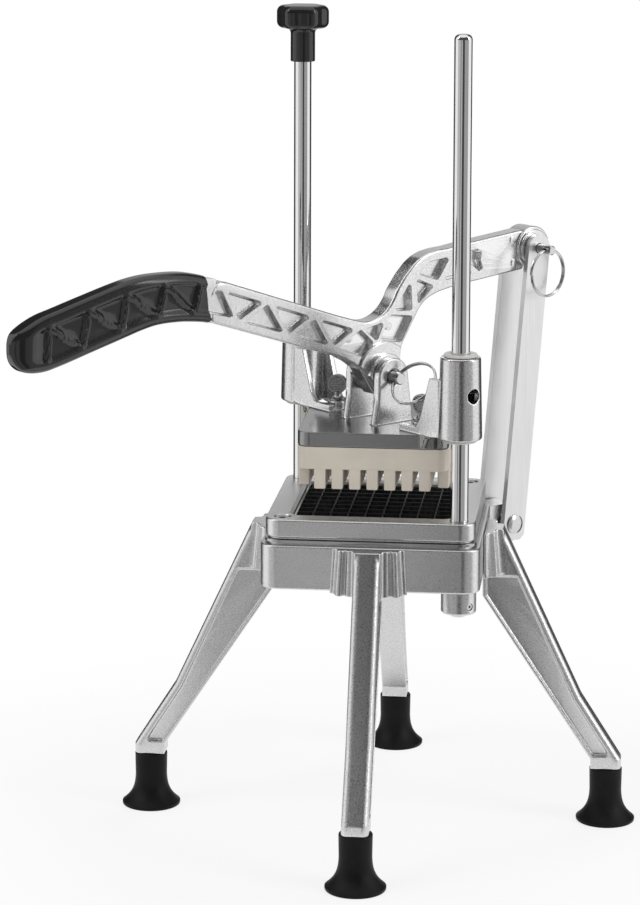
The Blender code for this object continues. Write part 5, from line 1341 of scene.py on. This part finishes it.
def beam_pockets():
    """The pockets along the straight beam: one at the grip, then the triangles between its ribs."""
    top = scaled(TOP_BEAM_SHARES[1:], BEAM_RUN, BEAM_RISE)
    bottom = scaled(BOTTOM_BEAM_SHARES[:2], BEAM_RUN, BEAM_RISE)

    def level(x, line):
        (x0, y0), (x1, y1) = sorted(line)[0], sorted(line)[-1]
        return y0 + (y1 - y0) * (x - x0) / (x1 - x0)

    nodes = []
    for share, side in BEAM_TRUSS_SHARES:
        x = share * BEAM_RUN
        nodes.append((x, level(x, top) - TRUSS_INSIDE if side else level(x, bottom) + TRUSS_INSIDE))
    margins = [RIB_WIDTH / 2, RIB_WIDTH / 2, RIM_WIDTH - TRUSS_INSIDE]
    pockets = [scaled(END_POCKET_SHARES, BEAM_RUN, BEAM_RISE)]
    for first, middle, last in zip(nodes, nodes[1:], nodes[2:]):
        pockets.append(inset([first, middle, last], margins))
    return pockets


def arm_pockets():
    """The pockets round the hub, up the gooseneck and along the rear arm."""
    return [scaled(shares, REAR_RUN, REAR_RISE) for shares in ARM_POCKET_SHARES]


def boss(radius, thick):
    """The part of the hub within a radius, cut off flat at the heel."""
    outline = lever_outline()
    body = slab([inset(outline, [HUB_INSET] * len(outline))], 2 * thick)
    return combine(body, puck(radius, thick, HUB_EDGE), "INTERSECT")


def pocket_tool(pocket, sign):
    """What a pocket takes out of one side: a filleted floor, drafted walls and a flared mouth."""
    web = LEVER_WEB / 2
    face = LEVER_THICK / 2
    rows = []
    for angle in FILLET_ANGLES:
        rows.append((web + POCKET_FILLET * (1 - math.cos(angle)),
                     POCKET_DRAFT + POCKET_FILLET * (1 - math.sin(angle))))
    for angle in FILLET_ANGLES:
        rows.append((face - POCKET_FLARE * (1 - math.sin(angle)), POCKET_FLARE * (math.cos(angle) - 1)))
    rows.append((face + POCKET_FLARE, -2 * POCKET_FLARE))
    levels = []
    for height, margin in rows:
        outline = inset(pocket, [margin] * len(pocket))
        levels.append((sign * height, rounded(outline, max(POCKET_CORNER - margin, GAP), 4)))
    return stack(levels)


def lever_mesh():
    """The cast lever: rim, web and truss ribs, hub, rear eye and the tang in the grip."""
    mesh = slab([lever_outline()], LEVER_THICK, LEVER_EDGE)
    mesh = join(mesh, slab([grip_tang()], TANG_THICK))
    for pocket in beam_pockets() + arm_pockets():
        mesh = cut(mesh, pocket_tool(pocket, 1), pocket_tool(pocket, -1))
    mesh = join(mesh, boss(HUB_PAD_RADIUS, HUB_PAD_THICK), boss(HUB_RADIUS, HUB_THICK))
    for radius, thick in ((EYE_STEP_RADIUS, EYE_STEP_THICK), (EYE_RADIUS, EYE_THICK)):
        mesh = join(mesh, moved(puck(radius, thick, HUB_EDGE), REAR_RUN, REAR_RISE))
    for x, y in EJECTOR_SHARES:
        across = x * (REAR_RUN if x > 0 else BEAM_RUN)
        up = y * (REAR_RISE if x > 0 else BEAM_RISE)
        level = LEVER_THICK if x > EJECTOR_FLAT_SHARE else LEVER_WEB
        mark = puck(EJECTOR_RADIUS, level + 2 * EJECTOR_HEIGHT, EJECTOR_HEIGHT / 2)
        mesh = join(mesh, moved(mark, across, up))
    for radius, across, up in ((MID_PIN_RADIUS, 0, 0), (REAR_PIN_RADIUS, REAR_RUN, REAR_RISE)):
        mesh = cut(mesh, moved(rod(radius + GAP, -HUB_THICK, HUB_THICK), across, up))
    return mesh


def grip_section(share):
    """The grip's middle rise and height at a share of its length."""
    rows = GRIP_SHARES
    for i in range(len(rows) - 1):
        if share <= rows[i + 1][0]:
            break
    before = rows[max(i - 1, 0)]
    first, last = rows[i], rows[i + 1]
    after = rows[min(i + 2, len(rows) - 1)]
    width = last[0] - first[0]
    t = (share - first[0]) / width
    values = []
    for k in (1, 2):
        slope_in = (last[k] - before[k]) / (last[0] - before[0]) * width
        slope_out = (after[k] - first[k]) / (after[0] - first[0]) * width
        values.append((2 * t ** 3 - 3 * t ** 2 + 1) * first[k] + (t ** 3 - 2 * t ** 2 + t) * slope_in
                      + (3 * t ** 2 - 2 * t ** 3) * last[k] + (t ** 3 - t ** 2) * slope_out)
    return GRIP_MOUTH_RISE + values[0] * GRIP_HEIGHT, values[1] * GRIP_HEIGHT


def grip_tang():
    """The lever's tang inside the grip, from its side."""
    top = []
    bottom = []
    for run, _, _ in GRIP_SHARES[:-1]:
        middle, height = grip_section(run)
        x = GRIP_MOUTH_RUN - run * GRIP_LENGTH + GRIP_WALL
        if run == 0:
            x += GRIP_OVERLAP + GRIP_WALL
        half = height / 2 - GRIP_WALL
        top.append((x, middle + half))
        bottom.append((x, middle - half))
    return top + bottom[::-1]


def grip_dimple(share, side):
    """How far the skin sinks between the ridges of the truss under it: 0 on a ridge, 1 between."""
    place = Vector((share * GRIP_LENGTH, side * GRIP_HEIGHT / 2))
    nearest = GRIP_RIDGE
    rise = GRIP_HEIGHT * GRIP_TRUSS_SHARE
    nodes = [Vector((run * GRIP_LENGTH, rise if upper else -rise)) for run, upper in GRIP_TRUSS_SHARES]
    for first, last in zip(nodes, nodes[1:]):
        span = last - first
        along = max(0, min(1, (place - first).dot(span) / span.length_squared))
        nearest = min(nearest, (place - first - span * along).length)
    ridge = nearest / GRIP_RIDGE
    border = fade(abs(side), *GRIP_BORDER_SHARES)
    end = fade(share, *GRIP_END_SHARES)
    return (ridge * ridge * (3 - 2 * ridge)) * (border * border * (3 - 2 * border)) * end


def grip_mesh():
    """The dipped grip: a round-edged skin that sinks a little over the pockets of the casting."""
    rings = []
    for station in range(GRIP_STATIONS + 1):
        share = 1 - (1 - station / GRIP_STATIONS) ** GRIP_CROWD_POWER
        middle, height = grip_section(share)
        tip = fade(share, GRIP_TIP_SHARE, 1)
        half_thick = GRIP_THICK / 2 * math.sqrt(max(GRIP_TIP_LEAST_SHARE, 1 - tip ** GRIP_TIP_POWER))
        x = GRIP_MOUTH_RUN - share * GRIP_LENGTH
        ring = []
        for c, s in circle(1, GRIP_AROUND):
            side = math.copysign(abs(s) ** (2 / GRIP_SIDE_POWER), s)
            out = math.copysign(abs(c) ** (2 / GRIP_POWER), c)
            sink = GRIP_DIMPLE * grip_dimple(share, side) * min(1, abs(out) * GRIP_FACE_GAIN) * (1 - tip)
            depth = out * half_thick - math.copysign(min(sink, half_thick / 2), out)
            lean = GRIP_LEAN * fade(share, GRIP_LEAN_SHARE, 0) * side * height / 2
            ring.append((x - lean, middle + side * height / 2, depth))
        rings.append(ring)
    tang = grip_tang()
    for end in (0, -1):
        tang[end] = (tang[end][0] + OVERRUN, tang[end][1])
    mesh = shell(rings)
    return cut(mesh, slab([tang], TANG_THICK + 2 * GAP))


def link_mesh():
    """One flat link bar, from its head at the lever's eye to its foot at the base pivot."""
    half = LINK_WIDTH / 2
    foot = -LINK_LENGTH - LINK_FOOT
    outline = arc(half, 0, math.pi, COARSE)
    outline += [(-half, foot + LINK_FOOT_CORNER), (-half + LINK_FOOT_CORNER, foot),
                (half - LINK_FOOT_CORNER, foot), (half, foot + LINK_FOOT_CORNER)]
    holes = [circle(REAR_PIN_RADIUS + GAP, MEDIUM), circle(PIVOT_PIN_RADIUS + GAP, MEDIUM, 0, -LINK_LENGTH)]
    return eased(slab([outline] + holes, LINK_THICK), LINK_EDGE)


def pivot_pin_mesh():
    """The domed-headed pin through both link feet, about its own axis."""
    seat = LINK_OUTSIDE + GAP
    end = -LINK_OUTSIDE - GAP - PIVOT_NUT_THICK - PIVOT_END
    dome = [(x, seat + y) for x, y in scaled(PIVOT_HEAD_SHARES, PIVOT_HEAD_RADIUS, PIVOT_HEAD_THICK)]
    shank = [(PIVOT_HEAD_RADIUS, seat), (PIVOT_PIN_RADIUS, seat), (PIVOT_PIN_RADIUS, end), (0, end)]
    return turned([(0, seat + PIVOT_HEAD_THICK)] + dome + shank)


def pivot_nut_mesh():
    """The nut on the pivot pin's far end."""
    across = PIVOT_NUT_ACROSS / 2 / math.cos(math.pi / 6)
    nut = slab([circle(across, HEX), circle(PIVOT_PIN_RADIUS + GAP, MEDIUM)], PIVOT_NUT_THICK)
    return moved(eased(nut, SCREW_EDGE / 2, 2), z=-LINK_OUTSIDE - GAP - PIVOT_NUT_THICK / 2)


def clevis_pin_mesh(radius, outside, end, hole_place, hole_turn):
    """A headed pin with a ring hole near its tip, along its own axis."""
    head = -outside - GAP
    profile = [(0, end), (radius - PIN_CHAMFER, end), (radius, end - PIN_CHAMFER), (radius, head),
               (PIN_HEAD_RADIUS, head), (PIN_HEAD_RADIUS, head - PIN_HEAD_THICK + PIN_CHAMFER),
               (PIN_HEAD_RADIUS - PIN_CHAMFER, head - PIN_HEAD_THICK), (0, head - PIN_HEAD_THICK)]
    hole = rod(RING_HOLE_RADIUS, -2 * radius, 2 * radius, COARSE)
    hole = turn(hole, rotation(hole_turn) @ rotation(QUARTER, "Y"))
    return cut(turned(profile), moved(hole, z=hole_place))


def ring_mesh(place, hole_turn, tip, swing):
    """A split ring of two coils through a pin's hole."""
    curve = bpy.data.curves.new("ring", "CURVE")
    curve.dimensions = "3D"
    curve.bevel_depth = RING_WIRE
    curve.bevel_resolution = 3
    curve.use_fill_caps = True
    spline = curve.splines.new("POLY")
    steps = 2 * FINE
    spline.points.add(steps)
    for i, point in enumerate(spline.points):
        angle = 4 * math.pi * i / steps + math.pi
        lift = -RING_COIL_PITCH * math.tanh(RING_CROSSING * (i / steps - 0.5)) / 2
        point.co = (RING_RADIUS * math.cos(angle), RING_RADIUS * (math.sin(angle) - 1), lift, 1)
    mesh = tidy(settle(scratch(curve)))
    mesh = turn(mesh, rotation(hole_turn) @ rotation(tip, "X"))
    return moved(turn(mesh, rotation(swing, "Y")), z=place)


def add_base():
    """The standing pieces: base, legs, feet, cartridge, frame, rods and knob."""
    piece("skirt", base_mesh(), CAST, "base", "base_casting")
    leg = cast(leg_mesh(), LEG_CELL, 2, LEG_KEEP_SHARE)
    foot = foot_mesh()
    screw = leg_screw_mesh()
    for side, name in enumerate(("right", "back", "left", "front")):
        heading = rotation(side * QUARTER)
        piece("cast_leg_" + name, leg.copy(), CAST, "base", "leg_" + name, heading, True)
        piece("inner_screw_" + name, screw.copy(), TURNED, "base", "leg_screw_" + name,
              heading)
        piece("rubber_foot_" + name, foot.copy(), RUBBER, "base", "foot_" + name,
              heading @ Matrix.Translation((FOOT_CIRCLE, 0, 0)))
    piece("cartridge", rim_mesh(), PRESSED, "base", "blade_frame")
    piece("clamp_frame", top_frame_mesh(), CAST, "base", "top_frame")
    for name, (x, y) in zip(("back", "front"), corners(True)):
        piece("socket_screw_" + name, frame_screw_mesh(), TURNED, "base", "frame_screw_" + name,
              Matrix.Translation((x, y, 0)))
    for name, (x, y), (top, domed) in zip(("near", "far"), corners(False),
                                          ((NEAR_ROD_TOP, True), (FAR_ROD_TOP, False))):
        piece("slide_rod_" + name, rod_mesh(top, domed), STEEL, "base", "guide_rod_" + name,
              Matrix.Translation((x, y, 0)))
        piece("grub_screw_" + name, set_screw_mesh(), TURNED, "base", "set_screw_" + name,
              outward(x))
    place = Matrix.Translation((*corners(False)[1], 0))
    piece("lobed_knob", knob_mesh(), KNOB, "knob", "rod_knob", place)
    # the CAD blades take the blade steel with painted shade
    for node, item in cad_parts.items():
        if node.startswith(("blade_across", "blade_along")):
            item.data.materials.clear()
            item.data.materials.append(BLADE_IN_PAINTED_SHADE)


def add_pusher():
    """The sliding head, its bushes, its block and the thumb screws."""
    head = cast(pusher_head_mesh(), HEAD_CELL, 3, HEAD_KEEP_SHARE)
    piece("slide_head", head, CAST_HEAD, "pusher", "pusher_head", None, True)
    piece("finger_block", block_mesh(), WHITE, "pusher", "pusher_block")
    bodies = ("thumb_screw_a", "thumb_screw_b")
    for name, body, (x, y), spin in zip(("near", "far"), bodies, corners(False), THUMB_TURNS):
        for upper, level in ((True, "upper"), (False, "lower")):
            piece("bush_%s_%s" % (level, name), bush_mesh(upper), PALE, "pusher",
                  "guide_bush_%s_%s" % (level, name), Matrix.Translation((x, y, 0)))
        place = outward(x) @ Vector((BOSS_RUN, 0, 0))
        piece("ribbed_screw_" + name, thumb_mesh(), NICKEL, body, "thumb_screw_" + name,
              Matrix.Translation(place) @ rotation(spin))


def add_lever():
    """The lever and its pins, the links and the rings."""
    pivot = lever_plane()
    eye = pivot @ Matrix.Translation((REAR_RUN, REAR_RISE, 0))
    piece("truss_lever", lever_mesh(), CAST_LEVER, "lever", "lever", pivot)
    piece("dipped_grip", grip_mesh(), VINYL, "lever", "lever_grip", pivot)
    pin = clevis_pin_mesh(MID_PIN_RADIUS, EAR_OUTSIDE, MID_PIN_END, MID_RING_PLACE, MID_RING_TURN)
    piece("clevis_pin", pin, TURNED, "clevis_pin", "mid_pin", pivot)
    ring = ring_mesh(MID_RING_PLACE, MID_RING_TURN, MID_RING_TIP, 0)
    piece("coil_ring_mid", ring, TURNED, "clevis_pin", "mid_ring", pivot)
    pin = clevis_pin_mesh(REAR_PIN_RADIUS, LINK_OUTSIDE, REAR_PIN_END, REAR_RING_PLACE, 0)
    piece("eye_pin", pin, TURNED, "rear_pin", "rear_pin", eye)
    ring = ring_mesh(REAR_RING_PLACE, 0, 0, REAR_RING_SWING)
    piece("coil_ring_rear", ring, TURNED, "rear_pin", "rear_ring", eye)
    hang = eye @ rotation(-LINK_LEAN)
    for name, sign in (("near", 1), ("far", -1)):
        offset = Matrix.Translation((0, 0, sign * (LINK_GAP_HALF + LINK_THICK / 2)))
        piece("flat_link_" + name, link_mesh(), BAR, "links", "link_" + name, hang @ offset)
    low = hang @ Matrix.Translation((0, -LINK_LENGTH, 0))
    piece("foot_pin", pivot_pin_mesh(), TURNED, "links", "link_pivot_pin", low)
    piece("foot_nut", pivot_nut_mesh(), TURNED, "links", "link_pivot_nut", low)


def add_camera():
    """The camera that took the photograph."""
    azimuth, elevation, roll = CAMERA_AZIMUTH, CAMERA_ELEVATION, CAMERA_ROLL
    back = Vector((math.sin(azimuth) * math.cos(elevation), -math.cos(azimuth) * math.cos(elevation),
                   math.sin(elevation)))
    right = Vector((math.cos(azimuth), math.sin(azimuth), 0))
    up = back.cross(right)
    across = right * math.cos(roll) - up * math.sin(roll)
    upward = right * math.sin(roll) + up * math.cos(roll)
    data = bpy.data.cameras.new("camera")
    data.sensor_width = SENSOR_MILLIMETRES
    data.lens = FOCAL_PIXELS * SENSOR_MILLIMETRES / IMAGE_HEIGHT
    data.shift_y = (AXIS_PIXEL - IMAGE_HEIGHT / 2) / IMAGE_HEIGHT
    data.clip_end = CAMERA_REACH
    camera = placed("camera", data)
    turned_to = Matrix((across, upward, back)).transposed().to_4x4()
    camera.matrix_world = Matrix.Translation(CAMERA_PLACE + SHIFT) @ turned_to
    bpy.context.scene.camera = camera


def add_lamp(name, place, size, power):
    """A soft box that faces the object."""
    data = bpy.data.lights.new(name, "AREA")
    data.shape = "RECTANGLE"
    data.size, data.size_y = size
    data.energy = power
    lamp = placed(name, data)
    lamp.location = Vector(place) + SHIFT
    lamp.rotation_euler = (LAMP_AIM + SHIFT - lamp.location).to_track_quat("-Z", "Y").to_euler()


def shown_or_reflected(nodes, links):
    """1 for rays from the camera, from a mirror or through glass, else 0."""
    path = nodes.new("ShaderNodeLightPath")
    share = path.outputs["Is Camera Ray"]
    for name in ("Is Glossy Ray", "Is Transmission Ray"):
        most = nodes.new("ShaderNodeMath")
        most.operation = "MAXIMUM"
        links.new(share, most.inputs[0])
        links.new(path.outputs[name], most.inputs[1])
        share = most.outputs[0]
    return share


def add_world():
    """A soft room for the light, and plain white behind the object and in its reflections."""
    world = bpy.data.worlds.new("room")
    bpy.context.scene.world = world
    world.use_nodes = True
    nodes, links = world.node_tree.nodes, world.node_tree.links
    room = nodes["Background"]
    room.inputs["Color"].default_value = (1, 1, 1, 1)
    room.inputs["Strength"].default_value = ROOM_LIGHT
    white = nodes.new("ShaderNodeBackground")
    white.inputs["Color"].default_value = (1, 1, 1, 1)
    white.inputs["Strength"].default_value = 1.0
    mixed = nodes.new("ShaderNodeMixShader")
    links.new(shown_or_reflected(nodes, links), mixed.inputs[0])
    links.new(room.outputs[0], mixed.inputs[1])
    links.new(white.outputs[0], mixed.inputs[2])
    links.new(mixed.outputs[0], nodes["World Output"].inputs["Surface"])


def add_floor():
    """A plain pale floor that is white but for the object's soft shadow."""
    sides = ((-1, -1), (1, -1), (1, 1), (-1, 1))
    mesh = new_mesh([(x * FLOOR_HALF, y * FLOOR_HALF, 0) for x, y in sides], [], [(0, 1, 2, 3)])
    graph = Graph("floor_pale")
    shader = graph.finish(grey(0.9), 0.9, 0.0).node_tree.nodes["Principled BSDF"]
    shader.inputs["Specular IOR Level"].default_value = 0.0
    glow = graph.add("ShaderNodeEmission", Color=(1, 1, 1, 1), Strength=1.0)
    distance = graph.add("ShaderNodeVectorMath", operation="LENGTH")
    graph.feed(distance.inputs[0], graph.coords)
    share = graph.span(distance.outputs["Value"], FLOOR_SHADOW_FULL, FLOOR_SHADOW_END, FLOOR_GLOW, 1.0)
    share = graph.math("MULTIPLY", share, shown_or_reflected(graph.tree.nodes, graph.tree.links))
    mixed = graph.add("ShaderNodeMixShader")
    graph.feed(mixed.inputs[0], share)
    graph.feed(mixed.inputs[1], shader.outputs[0])
    graph.feed(mixed.inputs[2], glow.outputs[0])
    graph.feed(graph.tree.nodes["Material Output"].inputs["Surface"], mixed.outputs[0])
    mesh.materials.append(graph.material)
    floor = placed("floor", mesh)
    floor.location = SHIFT


def add_flag(name, start, end, low, high, level):
    """A curved grey card round the object that only its polished surfaces show, by their headings.

    The headings count from the camera's, counterclockwise seen from above. A card that starts at
    the floor also runs in over it.
    """
    front = CAMERA_AZIMUTH - QUARTER
    rows = [(FLAG_RADIUS, low + FLAG_LIFT), (FLAG_RADIUS, high)]
    if low == 0:
        rows.insert(0, (FLAG_INSIDE, FLAG_LIFT))
    points = []
    faces = []
    count = len(rows)
    for i in range(COARSE + 1):
        angle = front + math.radians(start + (end - start) * i / COARSE)
        points += [(radius * math.cos(angle), radius * math.sin(angle), height) for radius, height in rows]
    for i in range(COARSE):
        for row in range(count - 1):
            a = i * count + row
            faces.append((a, a + count, a + count + 1, a + 1))
    mesh = new_mesh(points, [], faces)
    graph = Graph(name)
    glow = graph.add("ShaderNodeEmission", Color=grey(level), Strength=1.0)
    graph.feed(graph.tree.nodes["Material Output"].inputs["Surface"], glow.outputs[0])
    mesh.materials.append(graph.material)
    card = placed(name, mesh)
    card.location = SHIFT
    card.visible_camera = False
    card.visible_diffuse = False
    card.visible_shadow = False
    card.visible_transmission = False


add_camera()
add_world()
for lamp in LAMPS:
    add_lamp(*lamp)
add_floor()
for flag in FLAGS:
    add_flag(*flag)
add_base()
add_pusher()
add_lever()
bpy.context.scene.view_settings.view_transform = "Standard"
